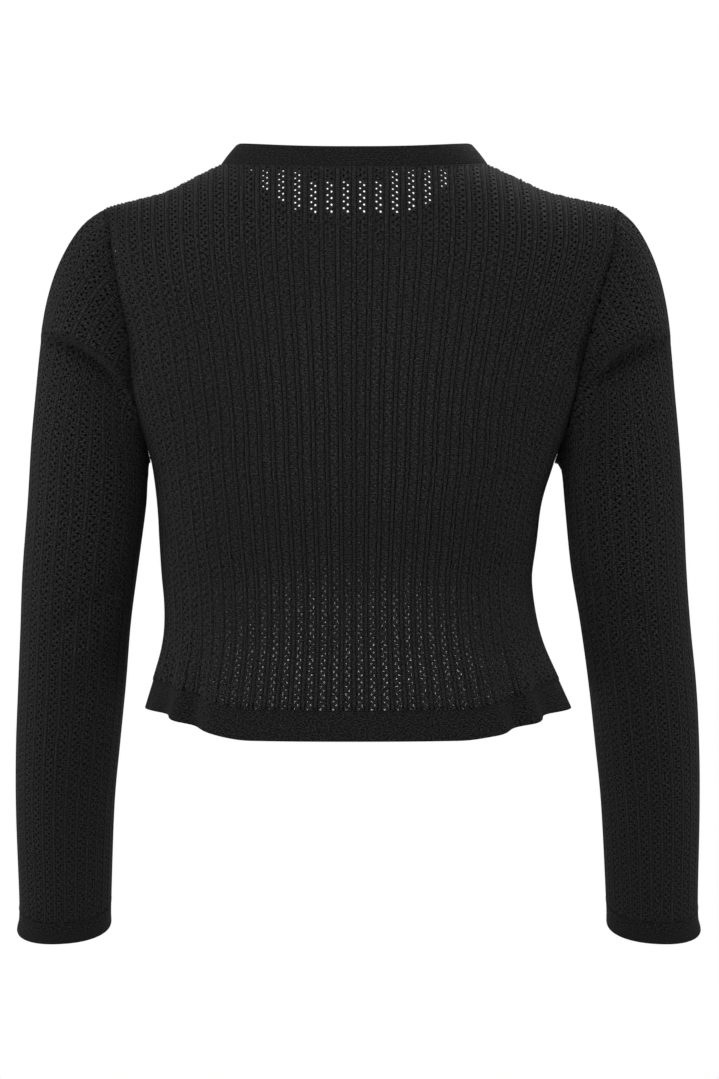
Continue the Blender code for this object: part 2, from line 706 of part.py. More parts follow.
def ring_wall(name, sleeve, rings, columns, wall, ribbed, material, trims):
    """Closed tube wall along a sleeve."""
    shares = np.arange(columns) / columns
    base = np.array([sleeve.ring(r, shares) for r in rings])
    for row, inward in trims:
        step = base[row + inward] - base[row]
        base[row] += step / np.linalg.norm(step, axis=1)[:, None] * HALF_GAP
    out = grid_normals(base, True) * (1 if sleeve.hand > 0 else -1)
    middle = base.mean(axis=1)[:, None, :]
    if np.sum((base - middle) * out) < 0:
        out = -out
    base = sleeve.fold(base, out, rings)
    if rings[0] == 0:
        panel = sleeve.seat_directions(shares)
        share = np.linalg.norm(panel, axis=1)[:, None]
        mixed = panel + out[0] * (1 - share)
        out[0] = mixed / np.linalg.norm(mixed, axis=1)[:, None]
    inner = base - out * wall
    if ribbed:
        crest = np.zeros(columns)
        crest[::2] = RIB_RAISE
        rise = ease(np.array(rings) / 2)
        base = base + out * (crest[None, :] * rise[:, None])[..., None]
    else:
        inner = inner[:, ::2]
    return strip_solid(name, base, inner, True, material)


bpy.ops.object.select_all(action="DESELECT")
for item in list(bpy.data.objects):
    bpy.data.objects.remove(item, do_unlink=True)
parts = bpy.data.collections.new("cardigan")
bpy.context.scene.collection.children.link(parts)

knit = new_material("black_pointelle_knit", (0.012, 0.012, 0.013), 0.9)
plain_knit = new_material("black_plain_knit", (0.010, 0.010, 0.011), 0.9)
button_black = new_material("black_button", (0.014, 0.014, 0.015), 0.35)
label_black = new_material("black_label", (0.008, 0.008, 0.009), 0.7)

back = prepare_half("back")
front = prepare_half("front")

# Panels
arm_line = {}
for half in (back, front):
    for hand in (1, -1):
        ribs = [hand * rib for rib, _ in half.edge]
        arm_line[half.side, hand] = half.at(ribs, [height for _, height in half.edge])
knit_panel(
    "back_panel",
    back,
    body_outline(back, -BODY_RIBS_HALF, BODY_RIBS_HALF),
    np.vstack([arm_line["back", 1], arm_line["back", -1]]),
    -BODY_RIBS_HALF,
    BODY_RIBS_HALF,
)
FIRST_FRONT_RIB = edge_rib(front, 200.0, BAND_HALF_WIDTH + SEAM_GAP)
for name, hand in (("front_left", 1), ("front_right", -1)):
    first, last = sorted((hand * FIRST_FRONT_RIB, hand * BODY_RIBS_HALF))
    knit_panel(name, front, body_outline(front, first, last), arm_line["front", hand], first, last)

# Sleeves and cuffs
for name, cuff, hand in (("sleeve_left", "cuff_left", 1), ("sleeve_right", "cuff_right", -1)):
    sleeve = Sleeve(hand, (back, front))
    last_row = len(SLEEVE_RINGS) - 1
    ring_wall(name, sleeve, SLEEVE_RINGS, SLEEVE_RIBS * 2, WALL, True, knit, [(last_row, -1)])
    ring_wall(cuff, sleeve, CUFF_RINGS, 48, BAND_WALL, False, plain_knit, [(0, 1)])


# Hem bands
HEM_HEIGHTS = (-HEM_BAND_HEIGHT, -HALF_GAP)


def hem_band(name, half, first, last):
    """Plain band that hangs from the hem seam, with a column on each half rib."""
    rows, inner = [], []
    for height in HEM_HEIGHTS:
        ends = [edge_line(half, rib, height) for rib in (first, last)]
        ribs = [float(r) for r in half_ribs(first, last) if first + 0.2 < r < last - 0.2]
        ribs = np.array([ends[0]] + ribs + [ends[1]])
        base = half.at(ribs, height)
        out = half.normals(ribs, np.full(len(ribs), height))
        rows.append(base + out * 0.2)
        inner.append(base - out * (BAND_WALL - 0.2))
    return strip_solid(name, rows, inner, False, plain_knit)


seam_rib = BODY_RIBS_HALF - SIDE_IN
hem_band("hem_band_back", back, -seam_rib, seam_rib)
hem_band("hem_band_front_left", front, FIRST_FRONT_RIB, seam_rib)
hem_band("hem_band_front_right", front, -seam_rib, -FIRST_FRONT_RIB)

# Neck band, from the left front edge round the back to the right front edge
front_stops = [float(r) for r in half_ribs(FIRST_FRONT_RIB, front.neck_rib - 0.2)]
back_stops = [float(r) for r in half_ribs(-back.neck_rib + 0.2, back.neck_rib - 0.2)]
left_stops = [edge_line(front, FIRST_FRONT_RIB, front.neck_height(FIRST_FRONT_RIB))] + front_stops
right_stops = [-rib for rib in reversed(left_stops)]
seam = []
for half, stops in ((front, left_stops), (back, list(reversed(back_stops))), (front, right_stops)):
    for rib in stops:
        t = half.neck_height(rib)
        seam.append((half.at(rib, t)[0], half.normals(np.array([rib]), np.array([t]))[0]))
foot = np.array([p for p, _ in seam])
foot_out = np.array([n for _, n in seam])
crown = foot * (NECK_BAND_TAPER, NECK_BAND_TAPER, 1.0) + (0.0, 0.0, NECK_BAND_HEIGHT)
ends = np.abs(foot[:, 0]) < BAND_HALF_WIDTH + 1
crown[ends, 0] = foot[ends, 0]
neck_rows = np.array([foot + (crown - foot) * share for share in (HALF_GAP / 20, 0.5, 1.0)])
neck_out = grid_normals(neck_rows, False)
if neck_out[1, len(foot) // 2, 1] < 0:
    neck_out = -neck_out
neck_out[0] = foot_out
neck_rows[1] += neck_out[1] * 0.5
inner_rows = neck_rows - neck_out * BAND_WALL
if len(foot) % 2 == 0:
    raise ValueError("the neck band needs an odd number of columns")
strip_solid("neck_band", neck_rows, inner_rows[:, ::2], False, plain_knit)

# Front opening: the right band laps over the left one
centre_top = front.neck_height(FIRST_FRONT_RIB)
band_heights = [-HEM_BAND_HEIGHT, 0.0]
band_heights += [float(h) for h in BODY_COURSES if h < centre_top - 9]
band_heights.append(centre_top)


def opening_band(name, from_x, to_x, lift):
    """Strip along the centre front between two x values, lifted off the front surface."""
    xs = np.linspace(from_x, to_x, 5)
    rows = []
    for height in band_heights:
        scale = edge_rib(front, height, BAND_HALF_WIDTH) / BAND_HALF_WIDTH
        rows.append(front.at(xs * scale, height))
    top = rows[-1]
    crest_row = top.copy()
    crest_row[:, 1] *= NECK_BAND_TAPER
    crest_row[:, 2] += NECK_BAND_HEIGHT
    rows.append((top + crest_row) / 2)
    rows.append(crest_row)
    rows = np.array(rows)
    out = grid_normals(rows, False)
    out *= -np.sign(out[..., 1:2])
    strip_solid(name, rows + out * lift, (rows + out * (lift - BAND_LAYER))[:, ::2], False, plain_knit)
    return (rows + out * lift)[:, 2]


under_lift = BAND_LIFT - BAND_LAYER - SEAM_GAP
lap_line = opening_band("buttonhole_band_right", -BAND_HALF_WIDTH, BAND_HALF_WIDTH - 0.6, BAND_LIFT)
opening_band("button_band_left", -BAND_HALF_WIDTH + 0.6, BAND_HALF_WIDTH, under_lift)

# Buttons: radius and height of each turned ring, from the back to the dished face
BUTTON_RINGS = (
    (3.4, 0.0),
    (BUTTON_RADIUS, 0.7),
    (BUTTON_RADIUS, 1.9),
    (5.1, BUTTON_HEIGHT),
    (4.2, BUTTON_HEIGHT),
    (3.6, 2.1),
)
BUTTON_SIDES = 16


def turn_button(name, middle, out):
    """Round dished button standing on its back, turned about its own axis."""
    across = out.cross(Vector((0, 0, 1))).normalized()
    up = out.cross(across)
    points, faces = [], []
    for radius, height in BUTTON_RINGS:
        for k in range(BUTTON_SIDES):
            angle = 2 * math.pi * k / BUTTON_SIDES
            spoke = across * math.cos(angle) + up * math.sin(angle)
            points.append(middle + spoke * radius + out * height)
    for ring in range(len(BUTTON_RINGS) - 1):
        for k in range(BUTTON_SIDES):
            j = (k + 1) % BUTTON_SIDES
            a, b = ring * BUTTON_SIDES, (ring + 1) * BUTTON_SIDES
            faces.append([a + k, a + j, b + j, b + k])
    last = (len(BUTTON_RINGS) - 1) * BUTTON_SIDES
    faces.append(list(reversed(range(BUTTON_SIDES))))
    faces.append(list(range(last, last + BUTTON_SIDES)))
    make_solid(name, points, faces, button_black)


lap_run = np.concatenate([[0], np.cumsum(np.linalg.norm(np.diff(lap_line, axis=0), axis=1))])
for index in range(BUTTON_COUNT):
    share = index / (BUTTON_COUNT - 1)
    top_button = lap_run[-1] - BUTTON_FROM_TOP
    where = top_button + (BUTTON_FROM_HEM - top_button) * share
    near = (where - 4, where, where + 4)
    spots = np.array([[np.interp(w, lap_run, lap_line[:, k]) for k in range(3)] for w in near])
    rise = spots[2] - spots[0]
    out = Vector((0, -rise[2], rise[1])).normalized()
    seat = max(float(np.dot(spot - spots[1], out)) for spot in spots)
    turn_button(f"button_{index + 1}", Vector(spots[1]) + out * (max(0.0, seat) + SEAM_GAP), out)

# Blank label inside the back neck
label_ribs = (LABEL_SHIFT + np.linspace(-LABEL_WIDTH / 2, LABEL_WIDTH / 2, 9)) / RIB_WIDTH["width"][-1]
label_rows, label_inner = [], []
for down in (LABEL_DROP + LABEL_HEIGHT, LABEL_DROP + LABEL_HEIGHT / 2, LABEL_DROP):
    heights = np.array([back.neck_height(r) - down for r in label_ribs])
    base = back.at(label_ribs, heights)
    out = back.normals(label_ribs, heights)
    label_rows.append(base - out * (WALL + LABEL_CLEARANCE))
    label_inner.append((base - out * (WALL + LABEL_CLEARANCE + LABEL_WALL))[::2])
strip_solid("neck_label", label_rows, label_inner, False, label_black)

total = 0
for item in parts.objects:
    faces = sum(len(p.vertices) - 2 for p in item.data.polygons)
    total += faces
    print(item.name, faces)
print("triangles", total)
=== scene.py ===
# %% [markdown]
# # A fitted cardigan in openwork rib knit
# The real garment is knitted in flat pieces: a back, two fronts and two sleeves in a rib
# with eyelets, and plain bands at the neck, hem, cuffs and front opening. This file dresses
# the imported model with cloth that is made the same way: each piece is cut flat, filled with
# a repeated cell of knitting, and then put on its worn shape.

import math

import bmesh
import bpy
import numpy as np
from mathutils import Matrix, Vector
from mathutils.geometry import delaunay_2d_cdt


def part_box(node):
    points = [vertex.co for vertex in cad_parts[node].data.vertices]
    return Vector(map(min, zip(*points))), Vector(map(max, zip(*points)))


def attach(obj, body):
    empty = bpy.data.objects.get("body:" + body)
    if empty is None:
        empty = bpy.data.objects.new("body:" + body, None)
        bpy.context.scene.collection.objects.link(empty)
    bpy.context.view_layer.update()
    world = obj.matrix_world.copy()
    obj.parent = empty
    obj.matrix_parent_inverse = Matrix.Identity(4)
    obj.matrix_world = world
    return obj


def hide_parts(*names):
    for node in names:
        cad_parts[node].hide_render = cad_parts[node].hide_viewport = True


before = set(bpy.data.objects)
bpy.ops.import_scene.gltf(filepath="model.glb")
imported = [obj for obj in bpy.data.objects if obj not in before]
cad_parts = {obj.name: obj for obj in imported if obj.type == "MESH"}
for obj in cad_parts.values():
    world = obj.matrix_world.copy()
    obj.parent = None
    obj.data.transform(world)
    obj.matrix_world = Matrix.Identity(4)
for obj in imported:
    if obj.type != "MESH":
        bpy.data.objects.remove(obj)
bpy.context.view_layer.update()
MM = 0.001
scene = bpy.context.scene


def add_object(name, data):
    """New object in the scene."""
    made = bpy.data.objects.new(name, data)
    scene.collection.objects.link(made)
    return made



# %% [markdown]
# ## Camera, floor and light
# The garment is seen straight from behind, as a product picture: the eye is level with its
# middle and far away, so the picture has little perspective. Its width is the field at the
# garment's distance. A pale room lights black cloth from all sides; large soft lamps above
# and at the sides add a direction and bright rims. Two small lamps inside the body, which the
# camera doesn't see, light the inside of the front, and this shows through the eyelets of
# the back. The floor and the room are white to the camera, and darker as light, so that
# folds keep their shadows.

# %% Camera
PIXEL = 0.79 * MM
PICTURE = (719, 1079)
EYE = Vector((0.0, 3.0, -182 * MM))
MIDDLE_PIXEL = (354, 400)
camera_data = bpy.data.cameras.new("camera")
camera = add_object("camera", camera_data)
camera.location = EYE
camera.rotation_euler = Vector((0, -1, 0)).to_track_quat("-Z", "Y").to_euler()
camera_data.sensor_fit = "HORIZONTAL"
camera_data.sensor_width = 36
camera_data.lens = 36 * EYE.y / (PICTURE[0] * PIXEL)
camera_data.shift_x = (PICTURE[0] / 2 - MIDDLE_PIXEL[0]) / PICTURE[0]
camera_data.shift_y = -(PICTURE[1] / 2 - MIDDLE_PIXEL[1]) / PICTURE[0]
scene.camera = camera
scene.view_settings.view_transform = "Standard"
print("lens", round(camera_data.lens, 1), "mm")


# %% Floor
FLOOR_LEVEL = -0.80
floor_mesh = bpy.data.meshes.new("floor")
corners = [(-14, -14), (14, -14), (14, 14), (-14, 14)]
floor_mesh.from_pydata([(x, y, FLOOR_LEVEL) for x, y in corners], [], [(0, 1, 2, 3)])
floor = add_object("floor", floor_mesh)
pale = bpy.data.materials.new("pale_floor")
pale.use_nodes = True
pale_nodes = pale.node_tree.nodes
pale_link = pale.node_tree.links.new
pale_shader = pale_nodes["Principled BSDF"]
pale_shader.inputs["Base Color"].default_value = (0.7, 0.7, 0.7, 1)
pale_shader.inputs["Roughness"].default_value = 0.9
pale_shader.inputs["Specular IOR Level"].default_value = 0.1
white = pale_nodes.new("ShaderNodeEmission")
seen_or_lit = pale_nodes.new("ShaderNodeMixShader")
ray = pale_nodes.new("ShaderNodeLightPath")
pale_link(ray.outputs["Is Camera Ray"], seen_or_lit.inputs[0])
pale_link(pale_shader.outputs[0], seen_or_lit.inputs[1])
pale_link(white.outputs[0], seen_or_lit.inputs[2])
pale_link(seen_or_lit.outputs[0], pale_nodes["Material Output"].inputs["Surface"])
floor_mesh.materials.append(pale)

# %% Light
world = bpy.data.worlds.new("pale_room")
scene.world = world
world.use_nodes = True
room = world.node_tree.nodes["Background"]
room.inputs["Color"].default_value = (1, 1, 1, 1)
room_ray = world.node_tree.nodes.new("ShaderNodeLightPath")
room_level = world.node_tree.nodes.new("ShaderNodeMapRange")
room_level.inputs["To Min"].default_value = 0.5
room_level.inputs["To Max"].default_value = 1.0
world.node_tree.links.new(room_ray.outputs["Is Camera Ray"], room_level.inputs["Value"])
world.node_tree.links.new(room_level.outputs["Result"], room.inputs["Strength"])


def add_lamp(name, place, aim, size, power):
    """Square soft lamp at a place, turned towards a point."""
    data = bpy.data.lights.new(name, "AREA")
    data.shape = "SQUARE"
    data.size = size
    data.energy = power
    lamp = add_object(name, data)
    lamp.location = place
    lamp.rotation_euler = (Vector(aim) - Vector(place)).to_track_quat("-Z", "Y").to_euler()
    return lamp


add_lamp("key_above_back", (0.7, 1.9, 2.0), (0, 0, -0.25), 1.3, 75)
add_lamp("key_above_front", (-0.7, -1.9, 2.0), (0, 0, -0.25), 1.3, 75)
add_lamp("side_left", (2.2, 0.5, 0.3), (0, 0, -0.25), 1.0, 22)
add_lamp("side_right", (-2.2, 0.5, 0.3), (0, 0, -0.25), 1.0, 22)
glow = add_lamp("hem_glow", (0, 0.06, -0.415), (0, -1, -0.4), 0.16, 1.25)
glow.data.shape = "RECTANGLE"
glow.data.size_y = 0.03
glow.data.spread = math.radians(75)
glow.visible_camera = False
inner = add_lamp("chest_glow", (0, 0.05, -0.2), (0, -1, -0.2), 0.2, 0.5)
inner.data.spread = math.radians(100)
inner.visible_camera = False

# %% [markdown]
# ## Sizes of the knit
# One rib repeat is a narrow raised rib, two grooves, and a flat strip with two columns of
# eyelets that take turns. Relaxed, it is about 10 mm wide, and an eyelet comes every 6 mm.
# Sizes are in millimetres, and the tables are those that the model itself is built from.

# %% Knit and garment sizes
RIB_FLAT = 10.3
ROW_HEIGHT = 5.9
CLOTH_WALL = 1.0
BAND_WALL = 2.2
SEAM_GAP = 0.3
HALF_GAP = SEAM_GAP / 2
BODY_RIBS_HALF = 20.5
SLEEVE_RIBS = 27
RIB_AT_SIDE = 10.4
SIDE_IN = HALF_GAP / RIB_AT_SIDE
RIB_STEP = 0.25
RIB_REACH = 21.5
FADE_LENGTH = 14.0

HEM_BAND_HEIGHT = 23.0
HEM_LEVEL = {"back": -442.5, "front": -436.0, "side": -424.0}
NECK_HALF_WIDTH = 106.0
NECK_DROP = {"back": 5.0, "front": 51.6}
NECK_ROUND = {"back": 2.2, "front": 4.0}
NECK_LIFT = 3.6
NECK_BAND_HEIGHT = 17.0
NECK_BAND_TAPER = 0.873
SHOULDER_TIP = 191.0
SHOULDER_SLOPE = 0.333
SHOULDER_ROUND = 100.0
SHOULDER_CURVE = {
    "x": (0, 104, 126, 150, 172, 191, 240),
    "share": (1, 1, 0.05, -0.95, -0.55, 0, 0),
}
RIDGE_ROUND = 30.0
UNDERARM_LEVEL = -232.0
ARMHOLE_RISE = 203.0
ARMHOLE_STEPS = 60
UNDERARM_CLEARANCE = 2.6
SEAT_GAP = 0.45

# %% Level sections of the body
BODY = {
    "z": (
        -445, -425, -400, -372, -340, -325, -293, -261, -232, -200, -170, -135, -90,
        -60, -30, 0, 40,
    ),
    "half_width": (
        170, 167.5, 158.5, 149, 145, 145, 148, 151, 158,
        171, 182, 189, 200, 207, 207, 205, 200,
    ),
    "back_depth": (108, 107, 101, 93, 86, 84, 86, 91, 94, 96, 97, 96, 91, 86, 82, 78, 72),
    "front_depth": (
        112, 111, 107, 102, 98, 97, 102, 111, 118, 121, 119, 112, 100, 93, 88, 84, 78,
    ),
    "square": (
        2.4, 2.4, 2.45, 2.5, 2.6, 2.6, 2.7, 2.7, 2.65, 2.6, 2.6, 2.6, 2.6, 2.6, 2.6,
        2.6, 2.6,
    ),
    "lean": (-3, -3, -1.5, 1, 4, 5.5, 4.7, 3.6, 1, 0, -0.5, -3.8, -5.5, -7.5, -6, -1, 0),
}
RIB_WIDTH = {
    "z": (-232, -198, -165, -135, -95, -60, -30, 0, 40),
    "width": (10.25, 10.4, 10.8, 11.3, 12.0, 12.5, 12.6, 12.6, 12.6),
}
HEM_SPREAD = {"z": (-445, -425, -380, -330, -232, 40), "spread": (0.11, 0.1, 0.06, 0.02, 0, 0)}
ARMHOLE = {
    "z": (-232, -230, -224, -212, -194, -170, -140, -112, -85, -60, -42, -29),
    "back": (0, 7, 15, 26, 36, 42.5, 45, 43, 37, 28, 17, 0),
    "front": (0, 8, 17, 29, 40, 47.5, 50, 47, 40, 30, 18, 0),
}
FLUTES = (
    {"side": "back", "rib": 12.8, "reach": 0.95, "depth": -6.0, "start": -352},
    {"side": "back", "rib": 14.3, "reach": 0.9, "depth": 3.5, "start": -345},
    {"side": "back", "rib": 15.6, "reach": 0.9, "depth": -4.5, "start": -362},
    {"side": "back", "rib": 17.8, "reach": 1.3, "depth": 3.0, "start": -350},
    {"side": "back", "rib": -11.0, "reach": 0.9, "depth": 3.0, "start": -350},
    {"side": "back", "rib": -12.3, "reach": 0.9, "depth": -5.5, "start": -345},
    {"side": "back", "rib": -13.8, "reach": 0.9, "depth": 4.0, "start": -350},
    {"side": "back", "rib": -15.4, "reach": 0.95, "depth": -5.5, "start": -355},
    {"side": "back", "rib": -17.8, "reach": 1.3, "depth": 3.0, "start": -350},
    {"side": "front", "rib": 11.0, "reach": 1.3, "depth": -3.5, "start": -350},
    {"side": "front", "rib": 14.5, "reach": 1.4, "depth": 3.0, "start": -345},
    {"side": "front", "rib": -10.0, "reach": 1.3, "depth": 3.0, "start": -350},
    {"side": "front", "rib": -13.5, "reach": 1.3, "depth": -3.5, "start": -345},
)

# %% Reading the tables with soft curves


def smooth(rows, column, at, key="z"):
    """Reads a table column with soft curves between its rows."""
    x = np.array(rows[key], float)
    y = np.array(rows[column], float)
    step = np.diff(x)
    slope = np.diff(y) / step
    tangent = np.empty_like(y)
    tangent[1:-1] = (slope[:-1] * step[1:] + slope[1:] * step[:-1]) / (step[:-1] + step[1:])
    tangent[0] = slope[0]
    tangent[-1] = slope[-1]
    at = np.clip(np.asarray(at, float), x[0], x[-1])
    i = np.clip(np.searchsorted(x, at, side="right") - 1, 0, len(x) - 2)
    h = step[i]
    u = (at - x[i]) / h
    a = y[i] * (1 + 2 * u) * (1 - u) ** 2 + y[i + 1] * u * u * (3 - 2 * u)
    b = h * (tangent[i] * u * (1 - u) ** 2 - tangent[i + 1] * u * u * (1 - u))
    return a + b


def ease(value):
    """Soft step from 0 to 1."""
    value = np.clip(value, 0, 1)
    return value * value * (3 - 2 * value)


def halve(low, high, is_low, turns=40):
    """Value between two limits at which a test turns from true to false."""
    for _ in range(turns):
        middle = (low + high) / 2
        if is_low(middle):
            low = middle
        else:
            high = middle
    return (low + high) / 2


def path_run(points):
    """Length run along a line of points, at each of them."""
    return np.concatenate([[0], np.cumsum(np.linalg.norm(np.diff(points, axis=0), axis=1))])


def ridge_level(x):
    """Level of the shoulder line, carried on softly over the neck opening."""
    away = np.hypot(np.asarray(x, float), RIDGE_ROUND)
    curve = NECK_LIFT * smooth(SHOULDER_CURVE, "share", np.abs(x), "x")
    return -SHOULDER_SLOPE * (away - math.hypot(NECK_HALF_WIDTH, RIDGE_ROUND)) + curve


# %% [markdown]
# ## The worn shape of the body
# A garment maker thinks of a panel by its ribs and by the height knitted so far, and both
# stay put on the cloth however it is worn. So the body's surface is a function of a rib
# number and a height. Level sections give its outline from the front and the side, and each
# rib runs up across them from the hem to the shoulder.

# %% Body surface
SHARES = np.arange(2 * SLEEVE_RIBS + 1) / (2 * SLEEVE_RIBS)
CAP_SHEAR = 0.07
EDGE_SHARES = SHARES - CAP_SHEAR * np.sin(math.pi * SHARES)
ARM_LEVELS = tuple(
    UNDERARM_LEVEL + ARMHOLE_RISE * (1 - math.cos(math.pi * k / ARMHOLE_STEPS)) / 2
    for k in range(ARMHOLE_STEPS + 1)
)


class BodyHalf:
    """Back or front half of the body surface, by rib number and height of knitting."""

    LEVELS = np.linspace(BODY["z"][0], BODY["z"][-1], 195)
    ANGLES = np.linspace(0, math.pi / 2, 161)
    PATH = np.sin(np.linspace(0, math.pi / 2, 120))

    def __init__(self, side):
        self.side = side
        self.sign = 1 if side == "back" else -1
        self.measure_sections()
        self.ribs = np.arange(-RIB_REACH, RIB_REACH + RIB_STEP / 2, RIB_STEP)
        paths = [self.column(rib) for rib in self.ribs]
        self.points = np.array([p for p, _ in paths])
        self.heights = np.array([t for _, t in paths])
        self.edge = self.armhole()
        self.neck_rib = self.rib_at_x(NECK_LIFT, NECK_HALF_WIDTH)

    def measure_sections(self):
        a = smooth(BODY, "half_width", self.LEVELS)[:, None]
        b = smooth(BODY, self.side + "_depth", self.LEVELS)[:, None]
        n = smooth(BODY, "square", self.LEVELS)[:, None]
        s, c = np.sin(self.ANGLES), np.cos(self.ANGLES)
        r = ((s / a) ** n + (c / b) ** n) ** (-1 / n)
        x, y = r * s, r * c
        run = np.hypot(np.diff(x, axis=1), np.diff(y, axis=1))
        self.arc = np.concatenate([np.zeros((len(x), 1)), np.cumsum(run, axis=1)], axis=1)
        self.x, self.y = x, y

    def level_place(self, z):
        """Level just below a height, and the share of the way to the next one."""
        last = len(self.LEVELS) - 1
        where = (z - self.LEVELS[0]) / (self.LEVELS[-1] - self.LEVELS[0]) * last
        where = min(max(where, 0.0), last - 0.001)
        return int(where), where - int(where)

    def rib_place(self, rib):
        """Index of the rib column just below a rib number, with its fraction."""
        return np.clip((rib + RIB_REACH) / RIB_STEP, 0, len(self.ribs) - 1.001)

    def level_row(self, z, rib):
        """Point of one rib on one level: x and distance from the middle plane."""
        low, mix = self.level_place(z)
        total = self.arc[low, -1] * (1 - mix) + self.arc[low + 1, -1] * mix
        if z <= UNDERARM_LEVEL:
            share = abs(rib) / BODY_RIBS_HALF
            spread = float(smooth(HEM_SPREAD, "spread", z))
            reach = total * (share * (1 - spread) + spread * share**3)
        else:
            scale = self.arc_at_underarm() / BODY_RIBS_HALF / RIB_WIDTH["width"][0]
            fade = ease((z - UNDERARM_LEVEL) / 120)
            width = float(smooth(RIB_WIDTH, "width", z)) * (scale * (1 - fade) + fade)
            reach = abs(rib) * width
        xs = [np.interp(reach, self.arc[k], self.x[k]) for k in (low, low + 1)]
        ys = [np.interp(reach, self.arc[k], self.y[k]) for k in (low, low + 1)]
        return xs[0] * (1 - mix) + xs[1] * mix, ys[0] * (1 - mix) + ys[1] * mix

    def arc_at_underarm(self):
        low, mix = self.level_place(UNDERARM_LEVEL)
        return self.arc[low, -1] * (1 - mix) + self.arc[low + 1, -1] * mix

    def place(self, z, rib, fluted=True):
        """Surface point for a level and a rib."""
        x, y = self.level_row(z, rib)
        depth = min(1.0, max(0.0, (float(ridge_level(x)) - z) / SHOULDER_ROUND))
        y *= math.sqrt(1 - (1 - depth) ** 2)
        a = float(smooth(BODY, "half_width", z))
        b = float(smooth(BODY, self.side + "_depth", z))
        out = Vector((x / a**2, y / b**2)).normalized()
        push = 0.0
        for flute in FLUTES:
            if fluted and flute["side"] == self.side and z < flute["start"]:
                far = (rib - flute["rib"]) / flute["reach"]
                fall = float(ease((flute["start"] - z) / (flute["start"] + 430)))
                push += flute["depth"] * fall * math.exp(-far * far)
        x += out.x * push
        y += out.y * push
        hand = 1 if rib >= 0 else -1
        return (hand * x + float(smooth(BODY, "lean", z)) * min(1.0, x / a) ** 2, self.sign * y, z)

    def hem_level(self, rib):
        """Level of the hem seam, which curves up towards the side seams."""
        share = min(1.0, abs(rib) / BODY_RIBS_HALF)
        low = HEM_LEVEL[self.side]
        return low + HEM_BAND_HEIGHT + (HEM_LEVEL["side"] - low) * float(ease((share - 0.38) / 0.5))

    def column(self, rib):
        """One rib from the hem seam up to the shoulder line, with its height of knitting.

        The height is measured without the flutes, so that both shoulders stay closed.
        """
        start = self.hem_level(rib)
        top = 0.0
        for _ in range(24):
            x = self.level_row(top, rib)[0]
            top = 0.5 * top + 0.5 * min(38.0, float(ridge_level(x)))
        levels = [start + (top - start) * q for q in self.PATH]
        points = np.array([self.place(z, rib) for z in levels])
        even = np.array([self.place(z, abs(rib), False) for z in levels])
        return points, path_run(even)

    def at(self, rib, height):
        """Surface points at rib numbers and heights of knitting."""
        rib = np.atleast_1d(np.asarray(rib, float))
        height = np.broadcast_to(np.asarray(height, float), rib.shape)
        where = self.rib_place(rib)
        low = where.astype(int)
        mix = (where - low)[:, None]
        ends = []
        for shift in (0, 1):
            found = np.empty((len(rib), 3))
            for index in np.unique(low):
                here = low == index
                t = self.heights[index + shift]
                p = self.points[index + shift]
                for axis in range(3):
                    found[here, axis] = np.interp(height[here], t, p[:, axis])
                below = here & (height < 0)
                if below.any():
                    step = (p[0] - p[1]) / (t[1] - t[0])
                    found[below] = p[0] - step * height[below][:, None]
            ends.append(found)
        return ends[0] * (1 - mix) + ends[1] * mix

    def normals(self, rib, height):
        """Outward directions of the surface."""
        d = self.at(rib + 0.2, height) - self.at(rib - 0.2, height)
        e = self.at(rib, np.asarray(height) + 1.5) - self.at(rib, np.asarray(height) - 1.5)
        n = np.cross(d, e) * self.sign
        return n / np.linalg.norm(n, axis=1)[:, None] * -1

    def height_at_level(self, rib, level):
        """Height of knitting at which a rib passes a level."""
        where = float(self.rib_place(rib))
        low = int(where)
        mix = where - low
        found = [np.interp(level, self.points[k][:, 2], self.heights[k]) for k in (low, low + 1)]
        return found[0] * (1 - mix) + found[1] * mix

    def rib_at(self, level, depth):
        """Rib number where a level has the given distance from the middle plane."""
        return halve(8.0, RIB_REACH, lambda rib: abs(self.place(level, rib)[1]) > depth)

    def rib_at_x(self, level, x):
        """Rib number where a level has the given x, before its lean."""
        return halve(0.0, RIB_REACH, lambda rib: self.level_row(level, rib)[0] < x)

    def armhole(self):
        """Armhole from the underarm to the shoulder tip, as rib numbers and heights."""
        line = []
        for level in ARM_LEVELS:
            depth = float(smooth(ARMHOLE, self.side, level))
            if level == ARM_LEVELS[0]:
                line.append((BODY_RIBS_HALF, level))
            elif level == ARM_LEVELS[-1]:
                level = float(ridge_level(SHOULDER_TIP))
                line.append((self.rib_at_x(level, SHOULDER_TIP), level))
            else:
                line.append((self.rib_at(level, depth), level))
        points = np.array([self.place(level, rib) for rib, level in line])
        run = path_run(points)
        line = np.array(line)
        edge = []
        for w in (1 - EDGE_SHARES[::-1]) * run[-1]:
            rib = float(np.interp(w, run, line[:, 0]))
            level = float(np.interp(w, run, line[:, 1]))
            edge.append((rib, float(self.height_at_level(rib, level))))
        edge[-1] = (edge[-1][0], self.top_height(edge[-1][0]))
        return edge

    def top_height(self, rib):
        """Height of knitting at the shoulder line."""
        return float(np.interp(rib, self.ribs, self.heights[:, -1]))

    def neck_height(self, rib):
        """Height of knitting where a rib meets the neck seam."""

        def below_seam(height):
            p = self.at(rib, height)[0]
            across = min(1.0, abs(p[0]) / NECK_HALF_WIDTH)
            return p[2] < NECK_LIFT - NECK_DROP[self.side] * (1 - across ** NECK_ROUND[self.side])

        low, high = self.height_at_level(rib, -70.0), self.height_at_level(rib, 36.0)
        return halve(low, high, below_seam)

    def panel_top(self, rib):
        """Height of knitting at the neck or shoulder edge of a rib."""
        return self.neck_height(rib) if abs(rib) < self.neck_rib else self.top_height(rib)


